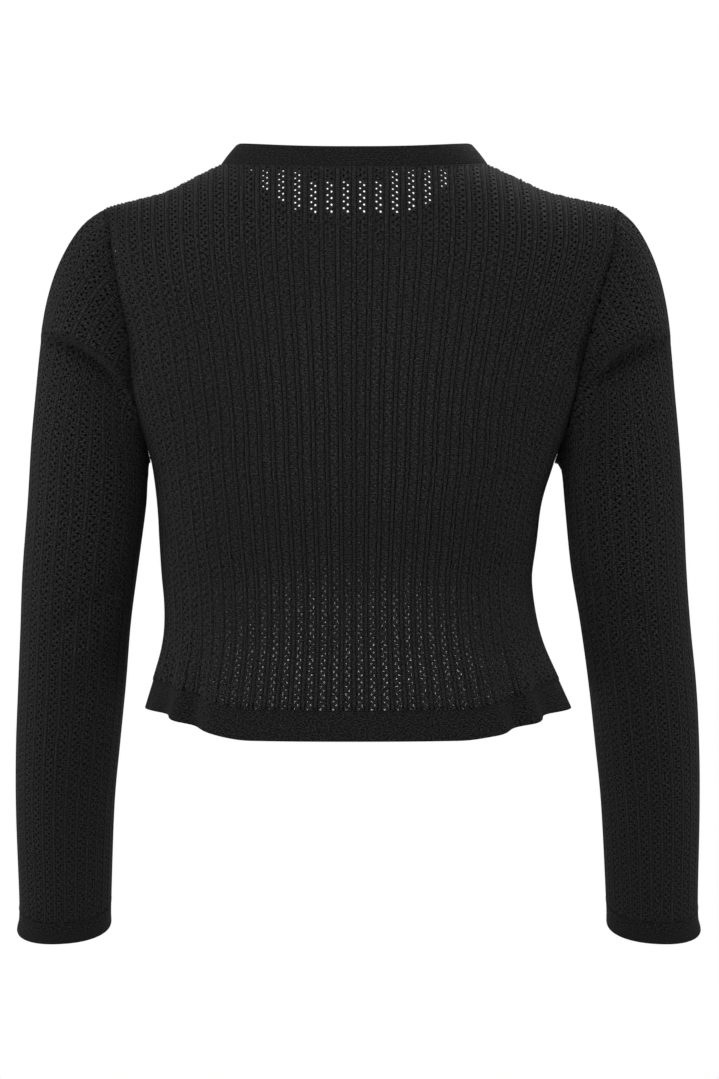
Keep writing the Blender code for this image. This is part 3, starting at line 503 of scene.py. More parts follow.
back = BodyHalf("back")
front = BodyHalf("front")
print("back length", round(back.neck_height(0.0) + HEM_BAND_HEIGHT + NECK_BAND_HEIGHT), "mm")

# %% [markdown]
# ## The worn shape of a sleeve
# A sleeve is a tube that starts on the armhole and bends forward at the elbow. Its rings fan
# out round the underarm, where they stay close together, while the outer arm is long. The
# first ring is the armhole edge of the panels itself, so the sleeve meets them all round.

# %% Sleeve table: outer and inner point of each ring, and how far it lies forward
SLEEVE = {
    "ring": (0, 1, 2, 3, 4, 5, 6, 7, 8, 9, 10, 11, 12, 13, 14, 15, 16),
    "out_x": (
        191, 200, 212, 224, 234.5, 242.5, 248, 252, 255.5,
        258.5, 262, 265.5, 270.5, 274.2, 276, 276.5, 279.4,
    ),
    "out_z": (
        -29, -33.5, -43, -59, -80, -106, -138, -175, -215, -262, -315, -362, -412,
        -462, -514, -594, -614,
    ),
    "in_x": (
        160.5, 161.3, 162, 162.6, 163, 163.3, 163.6, 164, 164.6,
        166, 171.5, 178.5, 184.8, 191, 197, 202, 202.6,
    ),
    "in_z": (
        -231.5, -232, -233, -234.5, -236, -238, -240, -243, -249,
        -268, -315, -360, -409, -459, -511, -590, -609.5,
    ),
    "middle_y": (0, 0, 0, 0, 0, 0, 0, 0, 0, 0, -2, -12, -31, -50, -70, -98, -106),
    "depth": (46, 49, 51, 53, 54, 54, 53.5, 52, 51, 49.5, 47, 44.5, 43, 41, 37.5, 32, 31.5),
    "tilt": (0, 0, 0, 0, 0, 0, 0, 0, 0, 0, 6, 16, 21, 21, 21, 21, 21),
    "lean": (-1, -1, -1, -1, -1, -1, -1, -1, -1, -1.2, -0.4, -1.2, -2.6, -2.9, -3.1, -3.8, -4),
    "seat": (1, 0.8, 0.6, 0.42, 0.27, 0.15, 0.06, 0, 0, 0, 0, 0, 0, 0, 0, 0, 0),
    "shear": (CAP_SHEAR, 0.06, 0.05, 0.04, 0.03, 0.02, 0.01, 0, 0, 0, 0, 0, 0, 0, 0, 0, 0),
}
CUFF_RING = 15
OVAL_SQUARE = 2.25
HALF_RING_POINTS = 129
ARM_FOLD = {
    "x": 204.6,
    "z": -144.6,
    "slope": 0.66,
    "bend": -0.0105,
    "above": 34.0,
    "below": 34.0,
    "sharp": 2.0,
    "half_length": 40.0,
    "back": 10.0,
    "front": 4.0,
}

# %% Sleeve surface


def grid_normals(rows, closed):
    """Directions across a grid of points, to the left of its rows as they rise."""
    if closed:
        along = np.roll(rows, -1, axis=1) - np.roll(rows, 1, axis=1)
    else:
        along = np.gradient(rows, axis=1)
    n = np.cross(along, np.gradient(rows, axis=0))
    return n / np.maximum(np.linalg.norm(n, axis=2), 1e-9)[:, :, None]


class Sleeve:
    """Sleeve surface by ring number and share of the way round, from the top over the back."""

    def __init__(self, hand):
        self.hand = hand
        self.seat = []
        self.seat_out = []
        for half in (back, front):
            edge = list(reversed(half.edge))
            points = half.at([hand * rib for rib, _ in edge], [t for _, t in edge])
            line, facing = [], []
            for (rib, t), p, along in zip(edge, points, np.gradient(points, axis=0)):
                below = t - 1.5 if t > half.top_height(rib) - 2 else t
                normal = half.normals(np.array([hand * rib]), np.array([below]))[0]
                away = np.cross(along, normal)
                away /= np.linalg.norm(away)
                if np.dot(away, np.array([hand * 240.0, 0, -130.0]) - p) < 0:
                    away = -away
                turn = float(ease((p[2] - UNDERARM_LEVEL) / 40))
                clear = np.array([hand, 0, 0]) * UNDERARM_CLEARANCE
                line.append(p + (away * SEAT_GAP * turn + clear * (1 - turn)))
                facing.append(normal * turn)
            fine = np.linspace(0, 1, HALF_RING_POINTS)
            for store, rows in ((self.seat, np.array(line)), (self.seat_out, np.array(facing))):
                columns = [smooth({"z": EDGE_SHARES, "v": rows[:, k]}, "v", fine) for k in range(3)]
                store.append(np.stack(columns, axis=1))

    @staticmethod
    def even(line, count):
        """Points at even steps along a line."""
        run = path_run(line)
        fine = np.linspace(0, run[-1], count)
        return np.stack([np.interp(fine, run, line[:, k]) for k in range(3)], axis=1)

    def oval(self, ring, side):
        """Half of one ring from its outer point round the back or the front to its inner one."""
        row = {k: float(smooth(SLEEVE, k, ring, "ring")) for k in SLEEVE if k != "ring"}
        angle = np.linspace(0, math.pi, HALF_RING_POINTS)
        outer = np.array([row["out_x"], 0, row["out_z"]])
        inner = np.array([row["in_x"], 0, row["in_z"]])
        middle = (outer + inner) / 2 + np.array([0, row["middle_y"], 0])
        half = (outer - inner) / 2
        tilt = math.radians(row["tilt"])
        turn = 1 if side == 0 else -1
        deep = np.array([0, math.cos(tilt), -math.sin(tilt)]) * row["depth"] * turn
        c, s = np.cos(angle), np.sin(angle)
        r = (np.abs(c) ** OVAL_SQUARE + s**OVAL_SQUARE) ** (-1 / OVAL_SQUARE)
        line = middle + half * (r * c)[:, None] + deep * (r * s)[:, None]
        line[:, 0] = line[:, 0] * self.hand + row["lean"]
        return self.even(line, HALF_RING_POINTS), row

    def read_half(self, table, share, shear, side):
        """Reads a half ring at shares of the whole way round."""
        u = 2 * share if side == 0 else 2 * (1 - share)
        u = u - shear * np.sin(math.pi * u)
        fine = np.linspace(0, 1, HALF_RING_POINTS)
        return np.stack([np.interp(u, fine, table[:, k]) for k in range(3)], axis=1)

    def ring(self, ring, shares):
        """Points of one ring at shares of the way round."""
        out = np.empty((len(shares), 3))
        for side in (0, 1):
            here = (shares <= 0.5) if side == 0 else (shares > 0.5)
            line, row = self.oval(ring, side)
            start, _ = self.oval(0, side)
            line = line + (self.seat[side] - start) * row["seat"]
            out[here] = self.read_half(line, shares[here], row["shear"], side)
        return out

    def seat_directions(self, shares):
        """Directions of the panels at the armhole, shorter towards the underarm."""
        out = np.empty((len(shares), 3))
        for side in (0, 1):
            here = (shares <= 0.5) if side == 0 else (shares > 0.5)
            out[here] = self.read_half(self.seat_out[side], shares[here], CAP_SHEAR, side)
        return out

    def fold(self, points, normals, rings):
        """Pushes the crease across the upper arm out above its line and in below it."""
        along = points[..., 0] * self.hand - ARM_FOLD["x"]
        line = ARM_FOLD["z"] + along * ARM_FOLD["slope"] + along**2 * ARM_FOLD["bend"]
        across = (points[..., 2] - line) * 0.84
        reach = np.where(across > 0, ARM_FOLD["above"], ARM_FOLD["below"])
        amount = np.tanh(across / ARM_FOLD["sharp"]) * np.exp(-((np.abs(across) / reach) ** 1.6))
        weight = np.exp(-((along / ARM_FOLD["half_length"]) ** 4))
        deep = np.clip(normals[..., 1], 0, 1) * ARM_FOLD["back"]
        deep += np.clip(-normals[..., 1], 0, 1) * ARM_FOLD["front"]
        start = ease(np.asarray(rings, float) / 3.2)[:, None]
        return points + normals * (start * amount * weight * deep)[..., None]

    def surface(self, rings, shares):
        """Grid of points and outward directions, a row for each ring."""
        points = np.array([self.ring(r, shares) for r in rings])
        out = grid_normals(points, False)
        if np.sum((points - points.mean(axis=1)[:, None, :]) * out) < 0:
            out = -out
        points = self.fold(points, out, rings)
        panel = self.seat_directions(shares)
        share = np.linalg.norm(panel, axis=1)[:, None]
        near = ease(1 - np.asarray(rings, float))[:, None, None]
        mixed = out * (1 - near * share) + panel * near
        return points, mixed / np.linalg.norm(mixed, axis=2)[:, :, None]


sleeves = {"left": Sleeve(1), "right": Sleeve(-1)}
print("sleeve rings", SLEEVE["ring"][-1])

# %% [markdown]
# ## Creases
# Worn knit has a few soft creases where it is pulled: from the armholes towards the back,
# at the waist, at the elbows and above the cuffs. Each is one row of a table: where it
# starts and ends on its piece, in ribs and millimetres of height, how wide and deep it is
# and how far it bends. A ridge has a positive depth. No two rows are alike, as on cloth.

# %% Creases of each piece
CREASES = {
    "back": (
        {"start": (16.2, 300), "end": (9.5, 262), "width": 7.0, "depth": -1.6, "bend": -4},
        {"start": (16.6, 272), "end": (11.5, 236), "width": 6.0, "depth": 1.3, "bend": -3},
        {"start": (-16.2, 306), "end": (-10.2, 268), "width": 7.5, "depth": -1.7, "bend": 4},
        {"start": (-16.8, 268), "end": (-12.0, 226), "width": 6.5, "depth": 1.3, "bend": 3},
        {"start": (19.5, 118), "end": (12.0, 98), "width": 8.0, "depth": -1.4, "bend": 5},
        {"start": (-19.0, 112), "end": (-12.5, 96), "width": 7.0, "depth": -1.2, "bend": -5},
        {"start": (-6.0, 98), "end": (5.5, 92), "width": 11.0, "depth": -0.9, "bend": 4},
    ),
    "front": (
        {"start": (16.4, 280), "end": (10.0, 246), "width": 7.0, "depth": -1.6, "bend": -4},
        {"start": (16.6, 244), "end": (11.8, 214), "width": 6.0, "depth": 1.2, "bend": -3},
        {"start": (-16.4, 276), "end": (-10.6, 240), "width": 7.0, "depth": -1.7, "bend": 4},
        {"start": (-16.8, 238), "end": (-12.4, 206), "width": 6.5, "depth": 1.2, "bend": 3},
        {"start": (19.0, 112), "end": (9.0, 96), "width": 8.0, "depth": -1.4, "bend": 5},
        {"start": (-18.6, 116), "end": (-9.4, 92), "width": 8.0, "depth": -1.3, "bend": -5},
    ),
    "sleeve": (
        {"start": (11.5, 300), "end": (4.0, 250), "width": 7.0, "depth": -2.2, "bend": 5},
        {"start": (12.0, 268), "end": (5.5, 226), "width": 6.5, "depth": 1.6, "bend": 4},
        {"start": (-10.5, 262), "end": (-3.0, 246), "width": 7.0, "depth": -2.4, "bend": -5},
        {"start": (-12.0, 236), "end": (-4.5, 228), "width": 6.0, "depth": 1.5, "bend": -4},
        {"start": (-11.0, 214), "end": (-5.0, 206), "width": 6.0, "depth": -1.6, "bend": -3},
        {"start": (8.5, 64), "end": (2.0, 46), "width": 5.5, "depth": -1.0, "bend": 3},
        {"start": (-9.0, 58), "end": (-2.5, 40), "width": 5.5, "depth": -1.1, "bend": -3},
    ),
}


def crease_push(rows, rib, height):
    """How far the creases move each point of a piece, in millimetres."""
    push = np.zeros(np.shape(rib))
    for row in rows:
        start = np.array([row["start"][0] * RIB_FLAT, row["start"][1]])
        run = np.array([row["end"][0] * RIB_FLAT, row["end"][1]]) - start
        length = math.hypot(*run)
        x, y = rib * RIB_FLAT - start[0], height - start[1]
        along = (x * run[0] + y * run[1]) / length**2
        across = (x * run[1] - y * run[0]) / length
        across = across - row["bend"] * np.sin(math.pi * np.clip(along, 0, 1))
        fade = ease(along / 0.3 + 0.15) * ease((1 - along) / 0.45 + 0.15)
        push += row["depth"] * fade * np.exp(-((across / row["width"]) ** 2))
    return push


print("creases", {piece: len(rows) for piece, rows in CREASES.items()})

# %% [markdown]
# ## Cutting the pieces flat
# Each knitted piece is first laid flat, with ribs across and height up, as it comes off
# the machine. Its outline is cut in that flat state, so the armhole and the neck get their
# true curves. Every point of the flat piece also keeps where it lies when the garment is
# worn and which way it faces there, so the knitting can be carried over later.

# %% Outlines of the flat pieces


def half_border(half, start):
    """Right half of a flat outline, from its hem round the armhole to the neck."""
    seam = BODY_RIBS_HALF - SIDE_IN
    hem = [(float(r), HALF_GAP) for r in np.arange(start, seam - 0.2, 0.5)]
    side = [(seam, float(h)) for h in np.arange(0, half.edge[0][1] - 4, 8.0)]
    side[0] = (seam, HALF_GAP)
    arm = [(min(r, seam), h - HALF_GAP) for r, h in half.edge]
    tip = half.edge[-1][0]
    stops = sorted([r for r in np.arange(start, tip - 0.1, 0.25)] + [half.neck_rib], reverse=True)
    top = [(float(r), float(half.panel_top(r)) - HALF_GAP) for r in stops]
    return hem + side + arm + top


def mirrored(border):
    return [(-r, h) for r, h in reversed(border)]


def front_rib(height, x_wanted):
    """Rib number of the front that lies at an x at a height of knitting."""
    return halve(0.0, 4.0, lambda rib: front.at(rib, height)[0][0] < x_wanted, 30)


BAND_HALF_WIDTH = 12.0
FRONT_EDGE_X = BAND_HALF_WIDTH + SEAM_GAP
FIRST_FRONT_RIB = front_rib(200.0, FRONT_EDGE_X)
back_half = half_border(back, 0.0)
back_border = back_half + mirrored(back_half)[1:-1]
front_half = half_border(front, 1.5)
front_top = front.neck_height(FIRST_FRONT_RIB) - HALF_GAP
edge_heights = [front_top] + [float(h) for h in np.arange(360, 0, -8.0)] + [HALF_GAP]
front_half += [(front_rib(h, FRONT_EDGE_X), h) for h in edge_heights]
borders = {
    "back_panel": back_border,
    "front_left": front_half,
    "front_right": mirrored(front_half),
}
print("outline points", {name: len(border) for name, border in borders.items()})

# %% Flat pieces that know their worn place


def flat_area(points, faces):
    """Area of flat faces, in square metres."""
    p = np.array(points)
    total = 0.0
    for face in faces:
        x, y = p[list(face)].T
        total += 0.5 * abs(np.dot(x, np.roll(y, -1)) - np.dot(y, np.roll(x, -1)))
    return total * MM * MM


def cut_piece(name, flat, faces, worn, facing, rise):
    """Flat mesh with its worn points, worn directions and share of rib relief."""
    mesh = bpy.data.meshes.new(name)
    mesh.from_pydata([(x * MM, y * MM, 0.0) for x, y in flat], [], [tuple(f) for f in faces])
    for label, values in (("worn", np.asarray(worn) * MM), ("facing", np.asarray(facing))):
        layer = mesh.attributes.new(label, "FLOAT_VECTOR", "POINT")
        layer.data.foreach_set("vector", np.ascontiguousarray(values, np.float32).ravel())
    layer = mesh.attributes.new("rise", "FLOAT", "POINT")
    layer.data.foreach_set("value", np.asarray(rise, np.float32))
    piece = add_object(name, mesh)
    piece["area"] = flat_area(flat, faces)
    return piece


def fill_border(border, near):
    """Triangles of a flat outline, with a grid of points inside it, away from its edge."""
    edge = np.array(border) * (RIB_FLAT, 1.0)
    ahead = np.roll(edge, -1, axis=0) - edge
    ribs = np.arange(-41, 42) * 0.5
    grid = np.array([(r * RIB_FLAT, h) for r in ribs for h in np.arange(6.0, 470.0, 7.0)])
    away = np.full(len(grid), 1e9)
    odd = np.zeros(len(grid), int)
    for a, run in zip(edge, ahead):
        share = np.clip(((grid - a) @ run) / max(run @ run, 1e-9), 0, 1)
        away = np.minimum(away, np.linalg.norm(a + share[:, None] * run - grid, axis=1))
        crossed = (a[1] > grid[:, 1]) != (a[1] + run[1] > grid[:, 1])
        at = a[0] + (grid[:, 1] - a[1]) / (run[1] if run[1] else 1e-9) * run[0]
        odd += crossed & (grid[:, 0] < at)
    inside = grid[(odd % 2 == 1) & (away > near)]
    points = [Vector(p) for p in edge] + [Vector(p) for p in inside]
    count = len(edge)
    loop = [(i, (i + 1) % count) for i in range(count)]
    found = delaunay_2d_cdt(points, loop, [list(range(count))], 1, 1e-4)
    return [(p.x, p.y) for p in found[0]], found[2]


def cut_panel(name, half):
    """One flat body panel; the back is seen from behind, so its ribs run the other way."""
    flat, faces = fill_border(borders[name], near=3.0)
    rib = np.array([x for x, _ in flat]) / RIB_FLAT
    height = np.array([y for _, y in flat])
    points = half.at(rib, height)
    facing = half.normals(rib, height)
    points = points + facing * crease_push(CREASES[half.side], rib, height)[:, None]
    arm_ribs, arm_heights = np.array(half.edge).T
    seam = np.vstack([half.at(hand * arm_ribs, arm_heights) for hand in (1, -1)])
    away = np.min(np.linalg.norm(points[:, None, :] - seam[None, :, :], axis=2), axis=1)
    turn = -1 if half.side == "back" else 1
    flat = [(turn * x, y) for x, y in flat]
    faces = [tuple(face)[::turn] for face in faces]
    return cut_piece(name + "_cut", flat, faces, points, facing, ease(away / FADE_LENGTH))


def cut_sleeve(name, hand_name):
    """One flat sleeve: ribs across, height above the cuff seam up, the cap curve on top."""
    sleeve = sleeves[hand_name]
    ribs = np.linspace(-SLEEVE_RIBS / 2 + 0.01, SLEEVE_RIBS / 2 - 0.01, 4 * SLEEVE_RIBS + 1)
    shares = (sleeve.hand * ribs / SLEEVE_RIBS) % 1.0
    rings = np.concatenate([np.linspace(CUFF_RING - 0.004, 9, 55), np.linspace(9, 0, 73)[1:]])
    order = np.argsort(shares)
    points, out = sleeve.surface(rings[::-1], shares[order])
    undo = np.argsort(order)
    points, out = points[::-1][:, undo], out[::-1][:, undo]
    climb = np.cumsum(np.linalg.norm(np.diff(points, axis=0), axis=2), axis=0)
    height = np.concatenate([np.zeros((1, len(ribs))), climb])
    spread = np.broadcast_to(ribs, height.shape)
    push = crease_push(CREASES["sleeve"], spread * sleeve.hand, height)
    fade = ease(rings / 3)[:, None] * ease((CUFF_RING - rings) / 0.6)[:, None]
    points = points + out * (push * fade)[..., None]
    rise = np.broadcast_to(ease(rings / 2)[:, None], height.shape)
    wide = len(ribs)
    faces = []
    for r in range(len(rings) - 1):
        for c in range(wide - 1):
            a = r * wide + c
            faces.append((a, a + 1, a + wide + 1, a + wide))
    flat = np.stack([spread.ravel() * RIB_FLAT, height.ravel()], axis=1)
    return cut_piece(
        name + "_cut", flat, faces, points.reshape(-1, 3), out.reshape(-1, 3), rise.ravel()
    )


cuts = {
    "back_panel": cut_panel("back_panel", back),
    "front_left": cut_panel("front_left", front),
    "front_right": cut_panel("front_right", front),
    "sleeve_left": cut_sleeve("sleeve_left", "left"),
    "sleeve_right": cut_sleeve("sleeve_right", "right"),
}
for name, piece in cuts.items():
    area = round(piece["area"], 4)
    print(name, "flat area", area, "square metres,", len(piece.data.vertices), "points")

# %% [markdown]
# ## One cell of the knitting
# The whole fabric repeats one small patch: a raised rib with a groove on each side, and half
# a flat strip on either side with one eyelet in each, half a row apart. The holes are real
# openings, so light and the wall behind show through them. The patch is triangulated once
# round its holes, and its edges match its neighbours', so copies join without a seam.

# %% Knit cell
EYELET_LINE = 0.38
RIB_PROFILE = {
    "share": (0.0, 0.1, 0.155, 0.215, EYELET_LINE, 0.5),
    "rise": (0.9, 0.65, -1.1, 0.15, 0.1, 0.3),
}
EYELETS = ((0.375, 0.27), (-0.375, 0.77))


def knit_cell(name, half_width, half_height, pit=0.0):
    """Patch one rib wide and one row high, with two eyelets of the given half sizes.

    With a pit depth the eyelets aren't open: they sink to one point, a floor that stands in
    for the shade seen through an open eyelet.
    """
    strips = [s for s in RIB_PROFILE["share"] if s != EYELET_LINE]
    spots = sorted({(side * s, v) for v in (0.0, 1.0) for s in strips for side in (1, -1)})
    rims, holes, sunk = [], [], {}
    for u, v in EYELETS:
        first = len(spots)
        spots += [(u - half_width, v), (u, v - half_height)]
        spots += [(u + half_width, v), (u, v + half_height)]
        rims.append(list(range(first, first + 4)))
        if pit:
            sunk[len(spots)] = pit
            spots.append((u, v))
        else:
            holes.append(rims[-1])
    edges = [(loop[k], loop[(k + 1) % 4]) for loop in rims for k in range(4)]
    for s in RIB_PROFILE["share"][:4]:
        for side in (1, -1):
            edges.append((spots.index((side * s, 0.0)), spots.index((side * s, 1.0))))
    flat = [Vector((u * RIB_FLAT, v * ROW_HEIGHT)) for u, v in spots]
    found = delaunay_2d_cdt(flat, edges, [], 0, 1e-5)[2]
    faces = [tuple(f) for f in found if not any(set(f) <= set(loop) for loop in holes)]
    points = []
    for k, (u, v) in enumerate(spots):
        rise = float(smooth(RIB_PROFILE, "rise", abs(u), "share")) - sunk.get(k, 0.0)
        points.append((u, v, rise * MM))
    mesh = bpy.data.meshes.new(name)
    mesh.from_pydata(points, [], faces)
    shape = bmesh.new()
    shape.from_mesh(mesh)
    for face in shape.faces:
        if face.normal.z < 0:
            face.normal_flip()
    shape.to_mesh(mesh)
    shape.free()
    cell = add_object(name, mesh)
    print(name, len(mesh.polygons), "triangles a side")
    return cell


back_cell = knit_cell("knit_cell_open", 0.092, 0.205)
sleeve_cell = knit_cell("knit_cell_sleeve", 0.078, 0.175)
# Closed eyelets: the pit floor stands in for the shade seen through an open eyelet.
closed_cell = knit_cell("knit_cell_closed", 0.085, 0.19, pit=1.1)

# %% [markdown]
# ## Knitting on a cut piece
# A Geometry Nodes tree does the knitting. It lays the cells in ribs and rows over the flat
# piece, drops those outside the outline, and pulls the loose points of the last ones onto
# the outline. Then it reads, at each point, where the flat piece is worn and which way it
# faces, and moves the knitting there. An image of holes would be lighter, but would have no
# depth at the edges of the holes or the ribs.

# %% Helpers for node groups


def new_group(name, kind, inputs, outputs):
    """Node group with its sockets: a label, a kind and, if wanted, a first value."""
    group = bpy.data.node_groups.new(name, kind)
    for label, socket_kind, *value in inputs:
        socket = group.interface.new_socket(label, in_out="INPUT", socket_type=socket_kind)
        if value:
            socket.default_value = value[0]
    for label, socket_kind in outputs:
        group.interface.new_socket(label, in_out="OUTPUT", socket_type=socket_kind)
    return group


def fill_sockets(tree, node, values):
    """Gives a node's inputs, in turn, a number or a link, and returns its first output."""
    for socket, value in zip(node.inputs, values):
        if isinstance(value, (int, float)):
            socket.default_value = value
        else:
            tree.links.new(value, socket)
    return node.outputs[0]


def maths_in(tree):
    """Function that adds a maths node to a tree."""

    def maths(operation, *values):
        node = tree.nodes.new("ShaderNodeMath")
        node.operation = operation
        return fill_sockets(tree, node, values)

    return maths


# %% Node tree that knits


def knit_tree():
    """Geometry Nodes group: cells in ribs and rows, cut to the flat piece, then worn."""
    sockets = (
        ("Cut piece", "NodeSocketGeometry"),
        ("Cell", "NodeSocketObject"),
        ("Second cell", "NodeSocketObject"),
        ("Second side", "NodeSocketFloat"),
        ("Ribs", "NodeSocketInt"),
        ("Rows", "NodeSocketInt"),
        ("Rib width", "NodeSocketFloat"),
        ("Row height", "NodeSocketFloat"),
        ("Rise", "NodeSocketFloat"),
        ("Finish", "NodeSocketMaterial"),
    )
    result = (("Knitting", "NodeSocketGeometry"),)
    tree = new_group("knit_on_cut_piece", "GeometryNodeTree", sockets, result)
    add = tree.nodes.new
    link = tree.links.new
    maths = maths_in(tree)
    given = add("NodeGroupInput").outputs

    def vector(*values):
        return fill_sockets(tree, add("ShaderNodeCombineXYZ"), values)

    def on_piece(label, kind, place):
        """Value of a point attribute of the flat piece at the place nearest to a point."""
        read = add("GeometryNodeInputNamedAttribute")
        read.data_type = kind
        read.inputs["Name"].default_value = label
        sample = add("GeometryNodeSampleNearestSurface")
        sample.data_type = kind
        link(given["Cut piece"], sample.inputs["Mesh"])
        link(read.outputs["Attribute"], sample.inputs["Value"])
        link(place, sample.inputs["Sample Position"])
        return sample.outputs["Value"]

    grid = add("GeometryNodeMeshGrid")
    link(given["Ribs"], grid.inputs["Vertices X"])
    link(given["Rows"], grid.inputs["Vertices Y"])
    breadth = maths("MULTIPLY", maths("SUBTRACT", given["Ribs"], 1), given["Rib width"])
    link(breadth, grid.inputs["Size X"])
    span = maths("MULTIPLY", maths("SUBTRACT", given["Rows"], 1), given["Row height"])
    link(span, grid.inputs["Size Y"])
    raise_rows = add("GeometryNodeSetPosition")
    link(grid.outputs["Mesh"], raise_rows.inputs["Geometry"])
    link(vector(0.0, maths("MULTIPLY", span, 0.5), 0.0), raise_rows.inputs["Offset"])

    place = add("ShaderNodeSeparateXYZ")
    link(add("GeometryNodeInputPosition").outputs["Position"], place.inputs[0])
    far_side = maths("MULTIPLY", place.outputs["X"], given["Second side"])
    far_side = maths("GREATER_THAN", far_side, 0.001 * MM)
    both = add("GeometryNodeJoinGeometry")
    for label, chosen in (("Cell", maths("SUBTRACT", 1.0, far_side)), ("Second cell", far_side)):
        cell = add("GeometryNodeObjectInfo")
        cell.inputs["As Instance"].default_value = True
        link(given[label], cell.inputs["Object"])
        copies = add("GeometryNodeInstanceOnPoints")
        link(raise_rows.outputs["Geometry"], copies.inputs["Points"])
        link(chosen, copies.inputs["Selection"])
        link(cell.outputs["Geometry"], copies.inputs["Instance"])
        link(vector(given["Rib width"], given["Row height"], 1.0), copies.inputs["Scale"])
        link(copies.outputs["Instances"], both.inputs[0])
    real = add("GeometryNodeRealizeInstances")
    link(both.outputs[0], real.inputs["Geometry"])
    joined = add("GeometryNodeMergeByDistance")
    joined.inputs["Distance"].default_value = 0.02 * MM
    link(real.outputs["Geometry"], joined.inputs["Geometry"])

    flat = vector(place.outputs["X"], place.outputs["Y"], 0.0)
    nearest = add("GeometryNodeProximity")
    nearest.target_element = "FACES"
    link(given["Cut piece"], nearest.inputs[0])
    link(flat, nearest.inputs["Sample Position"])
    outside = maths("GREATER_THAN", nearest.outputs["Distance"], 0.01 * MM)

    trim = add("GeometryNodeDeleteGeometry")
    trim.domain = "FACE"
    link(joined.outputs["Geometry"], trim.inputs["Geometry"])
    link(outside, trim.inputs["Selection"])
    mark = add("GeometryNodeStoreNamedAttribute")
    mark.data_type = "FLOAT2"
    mark.domain = "CORNER"
    mark.inputs["Name"].default_value = "knit"
    link(trim.outputs["Geometry"], mark.inputs["Geometry"])
    ribs = maths("DIVIDE", place.outputs["X"], given["Rib width"])
    rows = maths("DIVIDE", place.outputs["Y"], given["Row height"])
    link(vector(ribs, rows, 0.0), mark.inputs["Value"])

    held = nearest.outputs["Position"]
    lift = maths("MULTIPLY", place.outputs["Z"], given["Rise"])
    lift = maths("MULTIPLY", lift, on_piece("rise", "FLOAT", held))
    out = add("ShaderNodeVectorMath")
    out.operation = "SCALE"
    link(on_piece("facing", "FLOAT_VECTOR", held), out.inputs[0])
    link(lift, out.inputs["Scale"])
    total = add("ShaderNodeVectorMath")
    link(on_piece("worn", "FLOAT_VECTOR", held), total.inputs[0])
    link(out.outputs[0], total.inputs[1])
    wear = add("GeometryNodeSetPosition")
    link(mark.outputs["Geometry"], wear.inputs["Geometry"])
    link(total.outputs[0], wear.inputs["Position"])

    soft = add("GeometryNodeSetShadeSmooth")
    link(wear.outputs["Geometry"], soft.inputs[0])
    whole = add("GeometryNodeRealizeInstances")
    link(soft.outputs[0], whole.inputs["Geometry"])
    finish = add("GeometryNodeSetMaterial")
    link(whole.outputs["Geometry"], finish.inputs["Geometry"])
    link(given["Finish"], finish.inputs["Material"])
    link(finish.outputs["Geometry"], add("NodeGroupOutput").inputs["Knitting"])
    return tree


knitting = knit_tree()
print("knitting tree", len(knitting.nodes), "nodes")

# %% Running a tree and keeping its result as a plain mesh


def set_inputs(modifier, values):
    """Sets a nodes modifier's inputs by the identifiers of their sockets."""
    for item in modifier.node_group.interface.items_tree:
        if item.item_type == "SOCKET" and item.in_out == "INPUT" and item.name in values:
            modifier[item.identifier] = values[item.name]


def keep_result(name, source):
    """Plain mesh object of an object's evaluated shape; the source is removed."""
    graph = bpy.context.evaluated_depsgraph_get()
    seen = source.evaluated_get(graph)
    mesh = bpy.data.meshes.new_from_object(seen, preserve_all_data_layers=True, depsgraph=graph)
    mesh.name = name
    bpy.data.objects.remove(source, do_unlink=True)
    return add_object(name, mesh)


def count_triangles(piece):
    return sum(len(p.vertices) - 2 for p in piece.data.polygons)
